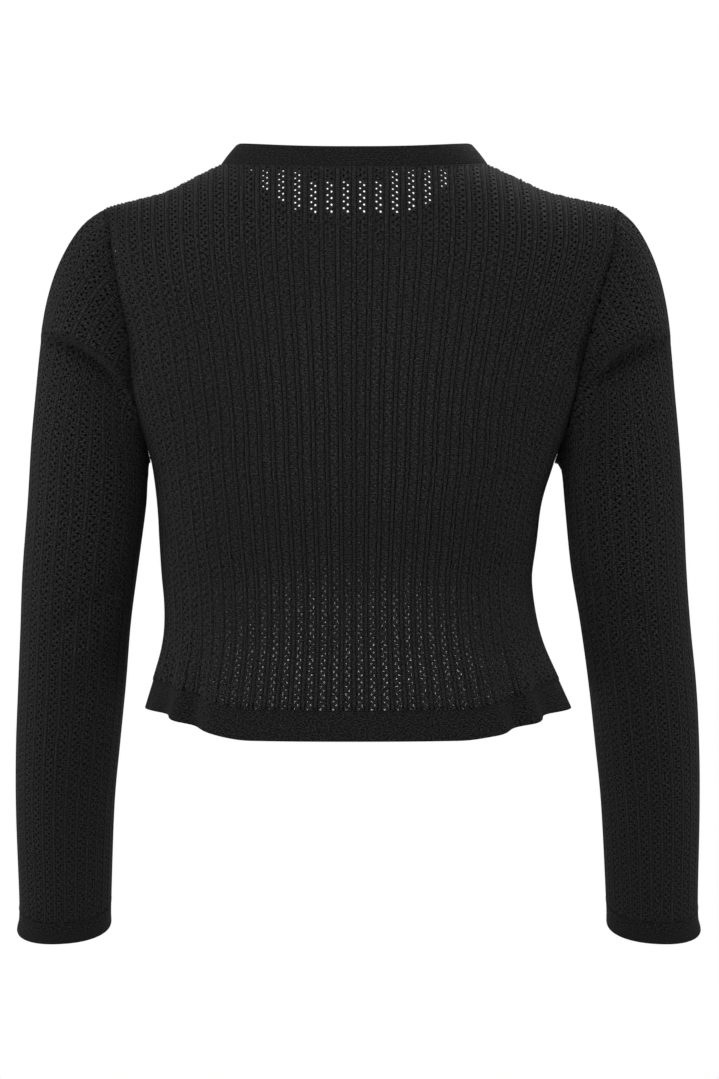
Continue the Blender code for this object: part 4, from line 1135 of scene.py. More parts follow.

# %% [markdown]
# ## Yarn and stitch finish
# The yarn is matt black and slightly hairy. Two patterns make it look knitted from close
# by: columns of V-shaped stitches, which lift the surface and have shade painted between
# them, and a soft mottling of the dye. Both are in one shader group that every knitted piece
# uses with its own stitch counts, and that group also paints shade into the grooves of the
# ribs and round the eyelets. The stitches follow the piece's own UV map, counted in ribs
# and rows.

# %% Shader group for stitches


def stitch_group():
    """Knit stitches on a UV map: their height, shade painted between them, and mottled dye.

    Shadow is shade painted into the grooves and round the eyelets, times the last input.
    """
    sockets = (
        ("Map", "NodeSocketVector"),
        ("Wales", "NodeSocketFloat", 9.0),
        ("Courses", "NodeSocketFloat", 5.0),
        ("Slant", "NodeSocketFloat", 0.9),
        ("Mottling", "NodeSocketFloat", 0.5),
        ("Fuzz", "NodeSocketFloat", 7.0),
        ("Openwork", "NodeSocketFloat", 0.0),
    )
    results = [(label, "NodeSocketFloat") for label in ("Height", "Gap", "Dye", "Shadow")]
    group = new_group("knit_stitches", "ShaderNodeTree", sockets, results)
    add = group.nodes.new
    link = group.links.new
    maths = maths_in(group)
    given = add("NodeGroupInput").outputs

    place = add("ShaderNodeSeparateXYZ")
    link(given["Map"], place.inputs[0])
    wale = maths("FRACT", maths("MULTIPLY", place.outputs["X"], given["Wales"]))
    side = maths("ABSOLUTE", maths("SUBTRACT", wale, 0.5))
    course = maths("MULTIPLY", place.outputs["Y"], given["Courses"])
    course = maths("SUBTRACT", course, maths("MULTIPLY", side, given["Slant"]))
    wave = maths("COSINE", maths("MULTIPLY", course, 2 * math.pi))
    loop = maths("MULTIPLY_ADD", wave, 0.5, 0.5)
    leg = maths("SINE", maths("MULTIPLY", maths("FRACT", maths("MULTIPLY", wale, 2.0)), math.pi))
    loop_rise = maths("MULTIPLY_ADD", loop, 0.55, 0.45)
    height = maths("MULTIPLY", loop_rise, maths("MULTIPLY_ADD", leg, 0.7, 0.3))
    # Painted shade between the stitches: the gap is high where the stitch height is low.
    gap = maths("SUBTRACT", 1.0, maths("SMOOTH_MIN", maths("MULTIPLY", height, 2.2), 1.0, 0.1))
    noise = add("ShaderNodeTexNoise")
    noise.inputs["Scale"].default_value = 1.7
    noise.inputs["Detail"].default_value = 5.0
    link(given["Map"], noise.inputs["Vector"])
    cloud = maths("SUBTRACT", noise.outputs["Fac"], 0.5)
    dye = maths("MULTIPLY_ADD", cloud, given["Mottling"], 1.0)
    fuzz = add("ShaderNodeTexNoise")
    fuzz.inputs["Scale"].default_value = 6.5
    fuzz.inputs["Detail"].default_value = 2.0
    link(given["Map"], fuzz.inputs["Vector"])
    grain = maths("MULTIPLY_ADD", maths("SUBTRACT", fuzz.outputs["Fac"], 0.5), given["Fuzz"], 1.0)
    dye = maths("MULTIPLY", dye, maths("MAXIMUM", grain, 0.1))

    # Painted shade: a mask of the two grooves beside each rib and of a ring round each eyelet,
    # which the material turns into darker colour.
    across = maths("SUBTRACT", maths("FRACT", maths("ADD", place.outputs["X"], 0.5)), 0.5)
    from_groove = maths("ABSOLUTE", maths("SUBTRACT", maths("ABSOLUTE", across), 0.155))
    groove = maths("SUBTRACT", 1.0, maths("MULTIPLY", from_groove, 22.0))
    turn = maths("MULTIPLY_ADD", maths("LESS_THAN", across, 0.0), -0.5, 0.23)
    up = maths("SUBTRACT", maths("FRACT", maths("ADD", place.outputs["Y"], turn)), 0.5)
    wide = maths("DIVIDE", maths("SUBTRACT", maths("ABSOLUTE", across), 0.375), 0.1)
    high = maths("DIVIDE", up, 0.21)
    away = maths("ADD", maths("MULTIPLY", wide, wide), maths("MULTIPLY", high, high))
    pit = maths("SUBTRACT", 1.3, away)
    shadow = maths("MAXIMUM", maths("MAXIMUM", groove, pit), 0.0)
    shadow = maths("MULTIPLY", maths("MINIMUM", shadow, 1.0), given["Openwork"])
    out = add("NodeGroupOutput").inputs
    link(shadow, out["Shadow"])
    link(height, out["Height"])
    link(gap, out["Gap"])
    link(dye, out["Dye"])
    return group


stitches = stitch_group()
outputs = [i.name for i in stitches.interface.items_tree if i.in_out == "OUTPUT"]
print("stitch group outputs", outputs)

# %% Knit materials


def knit_material(
    name, colour, wales, courses, depth, sheen, slant=0.9, rough=0.72, openwork=0.0, fuzz=7.0
):
    """Matt yarn with stitches, with shade painted between them, in the grooves and round the
    eyelets; openwork sets how strong the shade in the grooves and round the eyelets is.
    """
    material = bpy.data.materials.new(name)
    material.use_nodes = True
    nodes = material.node_tree.nodes
    link = material.node_tree.links.new
    shader = nodes["Principled BSDF"]
    shader.inputs["Specular IOR Level"].default_value = 0.04
    shader.inputs["Sheen Weight"].default_value = sheen
    shader.inputs["Sheen Roughness"].default_value = 0.45
    shader.inputs["Sheen Tint"].default_value = (0.75, 0.77, 0.8, 1)
    map_node = nodes.new("ShaderNodeUVMap")
    map_node.uv_map = "knit"
    knit = nodes.new("ShaderNodeGroup")
    knit.node_tree = stitches
    link(map_node.outputs["UV"], knit.inputs["Map"])
    knit.inputs["Wales"].default_value = wales
    knit.inputs["Courses"].default_value = courses
    knit.inputs["Slant"].default_value = slant
    knit.inputs["Openwork"].default_value = openwork
    knit.inputs["Fuzz"].default_value = fuzz
    # Painted shade between the stitches: the gap takes the dye down towards black.
    shade = nodes.new("ShaderNodeMath")
    shade.operation = "MULTIPLY_ADD"
    link(knit.outputs["Gap"], shade.inputs[0])
    shade.inputs[1].default_value = -0.95
    link(knit.outputs["Dye"], shade.inputs[2])
    # Painted shade in the grooves and round the eyelets: the colour falls to 22 percent there at
    # full strength.
    sunk = nodes.new("ShaderNodeMapRange")
    sunk.inputs["To Min"].default_value = 1.0
    sunk.inputs["To Max"].default_value = 0.22
    link(knit.outputs["Shadow"], sunk.inputs["Value"])
    tone = nodes.new("ShaderNodeMath")
    tone.operation = "MULTIPLY"
    link(shade.outputs[0], tone.inputs[0])
    link(sunk.outputs["Result"], tone.inputs[1])
    colour_node = nodes.new("ShaderNodeMix")
    colour_node.data_type = "RGBA"
    colour_node.inputs["A"].default_value = (0, 0, 0, 1)
    colour_node.inputs["B"].default_value = (*colour, 1)
    colour_node.clamp_factor = False
    link(tone.outputs[0], colour_node.inputs["Factor"])
    link(colour_node.outputs["Result"], shader.inputs["Base Color"])
    low_gloss = nodes.new("ShaderNodeMapRange")
    low_gloss.inputs["To Min"].default_value = 0.95
    low_gloss.inputs["To Max"].default_value = rough
    link(knit.outputs["Height"], low_gloss.inputs["Value"])
    link(low_gloss.outputs["Result"], shader.inputs["Roughness"])
    bump = nodes.new("ShaderNodeBump")
    bump.inputs["Strength"].default_value = 0.9
    bump.inputs["Distance"].default_value = depth * MM
    link(knit.outputs["Height"], bump.inputs["Height"])
    link(bump.outputs["Normal"], shader.inputs["Normal"])
    return material


BLACK = (0.0128, 0.0128, 0.0132)
BAND_BLACK = (0.0088, 0.0088, 0.0091)
# The shade painted in the grooves and round the eyelets is full on the back and a quarter of that
# on the fronts, which also have half the yarn grain.
openwork = knit_material("black_openwork_knit", BLACK, 6, 4, 0.5, 0.028, openwork=1.0)
front_openwork = knit_material(
    "black_front_knit", BLACK, 6, 4, 0.4, 0.028, openwork=0.25, fuzz=3.5
)
plain_knit = knit_material("black_plain_knit", BAND_BLACK, 7, 4, 0.5, 0.02)
print("knit colour", BLACK)

# %% [markdown]
# ## Panels and sleeves
# Now each cut piece is knitted and worn. Solidify then gives the cloth its thickness, to the
# inside, and closes the rim of every eyelet. Each result stands for its own solid of the
# model. The fronts and the front halves of the sleeves have closed eyelets, sunk as pits whose
# floors stand in for the shade seen through open eyelets. The fronts have a plainer finish,
# with less shade painted in their grooves and round their eyelets, so that the glow through
# the back's eyelets stays even.

# %% Knit the panels and sleeves
CELLS = {
    "back_panel": (back_cell, back_cell, 0.0),
    "front_left": (closed_cell, closed_cell, 0.0),
    "front_right": (closed_cell, closed_cell, 0.0),
    "sleeve_left": (sleeve_cell, closed_cell, -1.0),
    "sleeve_right": (sleeve_cell, closed_cell, 1.0),
}
pieces, cut_sizes, cut_areas = {}, {}, {}
for name, cut in cuts.items():
    ribs = SLEEVE_RIBS if name.startswith("sleeve") else 41
    top = max(v.co.y for v in cut.data.vertices)
    across = [v.co.x for v in cut.data.vertices]
    cut_sizes[name] = (max(across) - min(across), top)
    cut_areas[name] = cut["area"]
    modifier = cut.modifiers.new("knit", "NODES")
    modifier.node_group = knitting
    settings = {
        "Cell": CELLS[name][0],
        "Second cell": CELLS[name][1],
        "Second side": CELLS[name][2],
        "Ribs": ribs,
        "Rows": int(math.ceil(top / (ROW_HEIGHT * MM))),
        "Rib width": RIB_FLAT * MM,
        "Row height": ROW_HEIGHT * MM,
        "Rise": 0.35 if name.startswith("sleeve") else 1.0,
        "Finish": front_openwork if name.startswith("front") else openwork,
    }
    set_inputs(modifier, settings)
    wall = cut.modifiers.new("wall", "SOLIDIFY")
    wall.thickness = CLOTH_WALL * MM
    wall.offset = -1.0
    pieces[name] = keep_result(name + "_cloth", cut)
    print(name, count_triangles(pieces[name]), "triangles")
for cell in (back_cell, sleeve_cell, closed_cell):
    bpy.data.objects.remove(cell, do_unlink=True)

# %% [markdown]
# ## Bands and cuffs
# The hem, cuffs, neck and front opening are finished with plain bands, knitted double and
# linked on. They have no holes, so each is a fine grid of points on the worn shape, given a
# wall to the inside and rounded edges. The grid also numbers the stitches for the finish.

# %% A grid of points made into a band


def band_cloth(name, rows, out, across, up, wall, closed=False, material=None):
    """Outer grid with a wall to the inside; across and up number its stitches."""
    n, m = rows.shape[:2]
    faces, marks = [], []
    for r in range(n - 1):
        for c in range(m if closed else m - 1):
            d = (c + 1) % m
            faces.append((r * m + c, r * m + d, (r + 1) * m + d, (r + 1) * m + c))
            marks += [(across[c], up[r]), (across[c + 1], up[r])]
            marks += [(across[c + 1], up[r + 1]), (across[c], up[r + 1])]
    mesh = bpy.data.meshes.new(name)
    mesh.from_pydata((rows.reshape(-1, 3) * MM).tolist(), [], faces)
    layer = mesh.uv_layers.new(name="knit")
    layer.data.foreach_set("uv", np.array(marks, np.float32).ravel())
    facing = out.reshape(-1, 3)
    if sum(p.normal.dot(Vector(facing[p.vertices[0]])) for p in mesh.polygons) < 0:
        mesh.flip_normals()
    mesh.shade_smooth()
    mesh.materials.append(material or plain_knit)
    band = add_object(name, mesh)
    inside = band.modifiers.new("wall", "SOLIDIFY")
    inside.thickness = wall * MM
    inside.offset = -1.0
    edge = band.modifiers.new("soft_edge", "BEVEL")
    edge.width = 0.35 * wall * MM
    edge.segments = 2
    edge.limit_method = "ANGLE"
    edge.angle_limit = math.radians(50)
    return keep_result(name, band)


def row_steps(first, last, step):
    """Even steps from one value to another, about a step apart."""
    return np.linspace(first, last, max(2, int(round(abs(last - first) / step)) + 1))


# %% Hem bands
BAND_PROUD = 0.2
bands = {}


def end_rib(rib, height):
    """Rib at a band's end: the front edge keeps its x, a side seam keeps its rib."""
    if abs(rib) > 5:
        return rib
    return math.copysign(front_rib(height, FRONT_EDGE_X), rib)


def hem_band(name, half, first, last):
    """Band that hangs from the hem seam, doubled at its lower fold."""
    heights = row_steps(-HEM_BAND_HEIGHT, -HALF_GAP, 2.0)
    share = row_steps(0.0, 1.0, 0.25 / abs(last - first))
    rows, out = [], []
    for height in heights:
        ends = [end_rib(rib, height) for rib in (first, last)]
        ribs = ends[0] + (ends[1] - ends[0]) * share
        out.append(half.normals(ribs, np.full(len(ribs), height)))
        rows.append(half.at(ribs, height) + out[-1] * BAND_PROUD)
    across = first + (last - first) * share
    up = heights / ROW_HEIGHT
    rows, out = np.array(rows), np.array(out)
    bands[name] = band_cloth(name + "_cloth", rows, out, across, up, BAND_WALL)


seam_rib = BODY_RIBS_HALF - SIDE_IN
hem_band("hem_band_back", back, -seam_rib, seam_rib)
hem_band("hem_band_front_left", front, FIRST_FRONT_RIB, seam_rib)
hem_band("hem_band_front_right", front, -seam_rib, -FIRST_FRONT_RIB)

# %% Cuffs
CUFF_HEIGHT = 20.0
for side in ("left", "right"):
    rings = row_steps(CUFF_RING + 0.008, 16.0, 0.1)
    shares = np.arange(108) / 108
    rows, out = sleeves[side].surface(rings, np.append(shares, 1.0))
    across = np.append(shares, 1.0) * SLEEVE_RIBS
    up = (CUFF_RING - rings) * CUFF_HEIGHT / ROW_HEIGHT
    name = "cuff_" + side
    rows, out = rows[:, :-1], out[:, :-1]
    rows = rows + out * BAND_PROUD
    bands[name] = band_cloth(name + "_cloth", rows, out, across, up, BAND_WALL, closed=True)

# %% Seam allowance inside each cuff, a sheet that also stands in for the shade behind the lowest eyelets
ALLOWANCE_DEPTH = 1.7
THIN_WALL = 0.8
# Each allowance is a sheet of black knit just inside the sleeve; it keeps the lowest eyelets dark,
# in place of the shade inside the sleeve.
allowance_shade_sheets = {}
for side in ("left", "right"):
    rings = row_steps(14.68, CUFF_RING, 0.05)
    rows, out = sleeves[side].surface(rings, np.append(shares, 1.0))
    rows, out = rows[:, :-1], out[:, :-1]
    name = "cuff_" + side + "_allowance"
    up = (CUFF_RING - rings) * 80 / ROW_HEIGHT
    rows = rows - out * ALLOWANCE_DEPTH
    allowance_shade_sheets[name] = band_cloth(name, rows, out, across, up, THIN_WALL, closed=True)

# %% Neck band


def neck_seam():
    """Points and directions along the neck seam, from the left front edge round the back."""
    front_stops = row_steps(FIRST_FRONT_RIB, front.neck_rib, 0.25)
    back_stops = row_steps(back.neck_rib, -back.neck_rib, 0.25)[1:-1]
    points, out = [], []
    for half, stops in ((front, front_stops), (back, back_stops), (front, -front_stops[::-1])):
        for rib in stops:
            height = half.neck_height(rib)
            points.append(half.at(rib, height)[0])
            out.append(half.normals(np.array([rib]), np.array([height - 1.0]))[0])
    return np.array(points), np.array(out)


foot, foot_out = neck_seam()
crown = foot * (NECK_BAND_TAPER, NECK_BAND_TAPER, 1.0) + (0.0, 0.0, NECK_BAND_HEIGHT)
ends = np.abs(foot[:, 0]) < BAND_HALF_WIDTH + 1
crown[ends, 0] = foot[ends, 0]
climb = np.array([0.01, 0.08, 0.2, 0.35, 0.5, 0.65, 0.8, 0.92, 1.0])
neck_rows = np.array([foot + (crown - foot) * s for s in climb])
neck_out = grid_normals(neck_rows, False)
if neck_out[4, len(foot) // 2, 1] < 0:
    neck_out = -neck_out
neck_rows += neck_out * (0.5 * np.sin(math.pi * climb))[:, None, None]
run = path_run(foot)
bands["neck_band"] = band_cloth(
    "neck_band_cloth", neck_rows, neck_out, run / RIB_FLAT, climb * 20 / ROW_HEIGHT, BAND_WALL
)
neck_length = float(run[-1])

# %% Front opening bands: the right one laps over the left one
BAND_LAYER = 2.0
BAND_LIFT = 1.25
centre_top = front.neck_height(FIRST_FRONT_RIB)
low_heights = row_steps(-HEM_BAND_HEIGHT, 0.0, 4.0)
band_heights = np.concatenate([low_heights, row_steps(0.0, centre_top, 6.0)[1:]])


def opening_band(name, from_x, to_x, lift):
    """Strip along the centre front between two x values, lifted off the front surface."""
    xs = np.linspace(from_x, to_x, 9)
    rows = [front.at(xs * front_rib(h, BAND_HALF_WIDTH) / BAND_HALF_WIDTH, h) for h in band_heights]
    foot_row = rows[-1]
    crest_row = foot_row * (1.0, NECK_BAND_TAPER, 1.0) + (0.0, 0.0, NECK_BAND_HEIGHT)
    rows += [foot_row + (crest_row - foot_row) * s for s in (0.25, 0.5, 0.75, 1.0)]
    rows = np.array(rows)
    out = grid_normals(rows, False)
    out *= -np.sign(out[..., 1:2])
    rows = rows + out * lift
    up = path_run(rows[:, 4])
    bands[name] = band_cloth(name + "_cloth", rows, out, xs / RIB_FLAT, up / ROW_HEIGHT, BAND_LAYER)
    return rows[:, 4], float(up[-1])


under_lift = BAND_LIFT - BAND_LAYER - SEAM_GAP
lap_line, band_length = opening_band(
    "buttonhole_band_right", -BAND_HALF_WIDTH, BAND_HALF_WIDTH - 0.6, BAND_LIFT
)
opening_band("button_band_left", -BAND_HALF_WIDTH + 0.6, BAND_HALF_WIDTH, under_lift)
for name, band in bands.items():
    print(name, count_triangles(band), "triangles")

# %% [markdown]
# ## Label
# A small woven tape is sewn inside the back neck. It is blank here. It is a thin band like
# the others, with a denser and smoother weave.

# %% Label
TAPE_BLACK = (0.012, 0.012, 0.0125)
LABEL_SHIFT = 7.0
LABEL_HALF_WIDTH = 31.0
LABEL_DEPTH = 2.5
THREADS_APART = 2.0
woven_tape = knit_material(
    "black_woven_tape", TAPE_BLACK, 6, 4, 0.08, 0.0, slant=0.0, rough=0.55
)
label_xs = LABEL_SHIFT + np.linspace(-LABEL_HALF_WIDTH, LABEL_HALF_WIDTH, 25)
label_downs = np.linspace(12.0, 0.4, 8)
label_rows, label_out = [], []
for down in label_downs:
    ribs = label_xs / RIB_WIDTH["width"][-1]
    heights = np.array([back.neck_height(r) - down for r in ribs])
    label_out.append(back.normals(ribs, heights))
    label_rows.append(back.at(ribs, heights) - label_out[-1] * LABEL_DEPTH)
label = band_cloth(
    "blank_neck_label",
    np.array(label_rows),
    np.array(label_out),
    label_xs / THREADS_APART,
    -label_downs / THREADS_APART,
    THIN_WALL,
    material=woven_tape,
)
print("label", count_triangles(label), "triangles")

# %% [markdown]
# ## Buttons
# Seven small dished buttons with four holes close the front. Each is turned: a profile is
# run round the button's axis. The floor of the dish is one flat plate with four real holes,
# and thread runs over it from hole to hole and down through the band.

# %% Button finish
button_black = bpy.data.materials.new("black_button_resin")
button_black.use_nodes = True
button_nodes = button_black.node_tree.nodes
button_link = button_black.node_tree.links.new
button_shader = button_nodes["Principled BSDF"]
button_shader.inputs["Coat Weight"].default_value = 0.25
button_shader.inputs["Coat Roughness"].default_value = 0.12
place = button_nodes.new("ShaderNodeTexCoord")
cloud = button_nodes.new("ShaderNodeTexNoise")
cloud.inputs["Scale"].default_value = 420
cloud.inputs["Detail"].default_value = 4
cloud.inputs["Distortion"].default_value = 1.2
button_link(place.outputs["Object"], cloud.inputs["Vector"])
tone = button_nodes.new("ShaderNodeMix")
tone.data_type = "RGBA"
tone.inputs["A"].default_value = (0.009, 0.009, 0.010, 1)
tone.inputs["B"].default_value = (0.024, 0.023, 0.024, 1)
button_link(cloud.outputs["Fac"], tone.inputs["Factor"])
button_link(tone.outputs["Result"], button_shader.inputs["Base Color"])
wear = button_nodes.new("ShaderNodeMapRange")
wear.inputs["To Min"].default_value = 0.26
wear.inputs["To Max"].default_value = 0.44
button_link(cloud.outputs["Fac"], wear.inputs["Value"])
button_link(wear.outputs["Result"], button_shader.inputs["Roughness"])

# %% Thread finish
thread_black = bpy.data.materials.new("black_sewing_thread")
thread_black.use_nodes = True
thread_nodes = thread_black.node_tree.nodes
thread_link = thread_black.node_tree.links.new
thread_shader = thread_nodes["Principled BSDF"]
thread_shader.inputs["Roughness"].default_value = 0.75
thread_shader.inputs["Specular IOR Level"].default_value = 0.12
thread_shader.inputs["Sheen Weight"].default_value = 0.02
thread_place = thread_nodes.new("ShaderNodeTexCoord")
twist = thread_nodes.new("ShaderNodeTexWave")
twist.bands_direction = "DIAGONAL"
twist.inputs["Scale"].default_value = 900
twist.inputs["Distortion"].default_value = 2
thread_link(thread_place.outputs["Object"], twist.inputs["Vector"])
ply = thread_nodes.new("ShaderNodeMix")
ply.data_type = "RGBA"
ply.inputs["A"].default_value = (0.003, 0.003, 0.0035, 1)
ply.inputs["B"].default_value = (0.0085, 0.0085, 0.009, 1)
thread_link(twist.outputs["Fac"], ply.inputs["Factor"])
thread_link(ply.outputs["Result"], thread_shader.inputs["Base Color"])

# %% Turned button with four holes
BUTTON_COUNT = 7
BUTTON_PROFILE = (
    (3.7, 1.9),
    (3.95, 2.15),
    (4.3, 2.6),
    (4.85, 2.8),
    (5.4, 2.6),
    (5.72, 2.1),
    (5.75, 1.4),
    (5.6, 0.8),
    (5.0, 0.3),
    (3.7, 0.0),
)
BUTTON_SIDES = 32
DISH_LEVEL = 1.9
HOLE_PLACE = 1.15
HOLE_RADIUS = 0.6
THREAD_ARCH = ((-1.2, 0.6), (-1.0, 2.05), (0, 2.28), (1.0, 2.05), (1.2, 0.6))


def tube(points, radius, sides):
    """Vertices and faces of a round thread along a path in the button's own frame."""
    spots, faces = [], []
    path = [Vector(p) for p in points]
    for k, p in enumerate(path):
        along = (path[min(k + 1, len(path) - 1)] - path[max(k - 1, 0)]).normalized()
        if abs(along.y) > 0.9:
            across = along.orthogonal().normalized()
        else:
            across = along.cross((0, 1, 0)).normalized()
        other = along.cross(across)
        for s in range(sides):
            angle = 2 * math.pi * s / sides
            spots.append(p + (across * math.cos(angle) + other * math.sin(angle)) * radius)
    for k in range(len(path) - 1):
        for s in range(sides):
            t = (s + 1) % sides
            faces.append((k * sides + s, k * sides + t, (k + 1) * sides + t, (k + 1) * sides + s))
    faces.append(tuple(reversed(range(sides))))
    faces.append(tuple(range((len(path) - 1) * sides, len(path) * sides)))
    return spots, faces


def turn_faces_out(mesh):
    """Makes the faces of closed forms look outwards."""
    shape = bmesh.new()
    shape.from_mesh(mesh)
    bmesh.ops.recalc_face_normals(shape, faces=shape.faces)
    shape.to_mesh(mesh)
    shape.free()


def button_mesh():
    """Vertices, faces and material numbers of one button, standing on its back at zero."""
    angles = np.arange(BUTTON_SIDES) * 2 * math.pi / BUTTON_SIDES
    ring = [Vector((math.cos(a), math.sin(a))) for a in angles]
    plate = [r * BUTTON_PROFILE[0][0] for r in ring]
    loops = [list(range(BUTTON_SIDES))]
    for x, y in ((1, 1), (-1, 1), (-1, -1), (1, -1)):
        first = len(plate)
        middle = Vector((x * HOLE_PLACE, y * HOLE_PLACE))
        plate += [middle + r * HOLE_RADIUS for r in ring[::4]]
        loops.append(list(range(first, len(plate))))
    edges = [(loop[k], loop[(k + 1) % len(loop)]) for loop in loops for k in range(len(loop))]
    found = delaunay_2d_cdt(plate, edges, [], 0, 1e-5)[2]
    flat = [f for f in found if not any(set(f) <= set(loop) for loop in loops)]
    spots = [(p.x, p.y, DISH_LEVEL) for p in plate] + [(p.x, p.y, 0.0) for p in plate]
    shift = len(plate)
    faces = [tuple(f) for f in flat] + [tuple(i + shift for i in reversed(f)) for f in flat]
    for loop in loops[1:]:
        for k in range(len(loop)):
            faces.append((loop[k], loop[k - 1], loop[k - 1] + shift, loop[k] + shift))
    rings = [list(range(BUTTON_SIDES))]
    for radius, height in BUTTON_PROFILE[1:-1]:
        rings.append(list(range(len(spots), len(spots) + BUTTON_SIDES)))
        spots += [(r.x * radius, r.y * radius, height) for r in ring]
    rings.append([i + shift for i in range(BUTTON_SIDES)])
    for low, high in zip(rings, rings[1:]):
        faces += [(low[k - 1], low[k], high[k], high[k - 1]) for k in range(BUTTON_SIDES)]
    kinds = [0] * len(faces)
    threads = [[(0, 0, -0.9), (0, 0, 0.1)]]
    for y in (HOLE_PLACE, -HOLE_PLACE):
        for lean in (-0.28, 0.0, 0.28):
            threads.append([(x, y + lean * 0.8, z) for x, z in THREAD_ARCH])
    for number, path in enumerate(threads):
        extra, sides = tube(path, 1.1 if number == 0 else 0.2, 8 if number == 0 else 6)
        faces += [tuple(i + len(spots) for i in f) for f in sides]
        kinds += [1] * len(sides)
        spots += extra
    return [Vector(p) for p in spots], faces, kinds


button_spots, button_faces, button_kinds = button_mesh()
print("button", sum(len(f) - 2 for f in button_faces), "triangles")

# %% Place the buttons where the model has them
BUTTON_HALF_HEIGHT = 1.4
lap_rise = np.gradient(lap_line, axis=0)
buttons = {}
button_seats = []
for number in range(1, BUTTON_COUNT + 1):
    name = f"button_{number}"
    low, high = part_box(name)
    middle = (Vector(low) + Vector(high)) / 2 / MM
    nearest = int(np.argmin(np.abs(lap_line[:, 2] - middle.z)))
    out = Vector((0, -lap_rise[nearest][2], lap_rise[nearest][1])).normalized()
    up = Vector((1, 0, 0)).cross(out) * -1
    mesh = bpy.data.meshes.new(name + "_turned")
    base = middle - out * BUTTON_HALF_HEIGHT
    placed = [base + Vector((1, 0, 0)) * p.x + up * p.y + out * p.z for p in button_spots]
    mesh.from_pydata([p * MM for p in placed], [], button_faces)
    mesh.materials.append(button_black)
    mesh.materials.append(thread_black)
    mesh.polygons.foreach_set("material_index", button_kinds)
    turn_faces_out(mesh)
    mesh.shade_smooth()
    mesh.set_sharp_from_angle(angle=math.radians(50))
    buttons[name] = add_object(name + "_turned", mesh)
    button_seats.append((base, out, up))
print("buttons", len(buttons))

# %% [markdown]
# ## Linked seams
# Knitted pieces are linked edge to edge with a chain of yarn. A tree runs a soft cord just
# under each seam, which closes the gap between two pieces, and lays a small V-shaped stitch
# every few millimetres on top. The same tree sews the buttonholes and the label. Each path
# is a line of points that also know which way the cloth faces.

# %% One V-shaped stitch


def stitch_shape():
    """Two small spindles that make a V, one unit long."""
    spots, faces = [], []
    for side in (1, -1):
        first = len(spots)
        start, end = Vector((-0.55, side * 0.08, 0.0)), Vector((0.5, side * 0.42, 0.12))
        middle = start.lerp(end, 0.55)
        across = Vector((0, 0, 1)).cross(end - start).normalized() * 0.2
        above, below = Vector((0, 0, 0.24)), Vector((0, 0, 0.2))
        spots += [start, middle + across, middle + above, middle - across, middle - below, end]
        for k in range(4):
            a, b = first + 1 + k, first + 1 + (k + 1) % 4
            faces += [(first, b, a), (first + 5, a, b)]
    mesh = bpy.data.meshes.new("linking_stitch")
    mesh.from_pydata(spots, [], faces)
    turn_faces_out(mesh)
    return add_object("linking_stitch", mesh)


stitch = stitch_shape()

# %% Tree that sews along a path


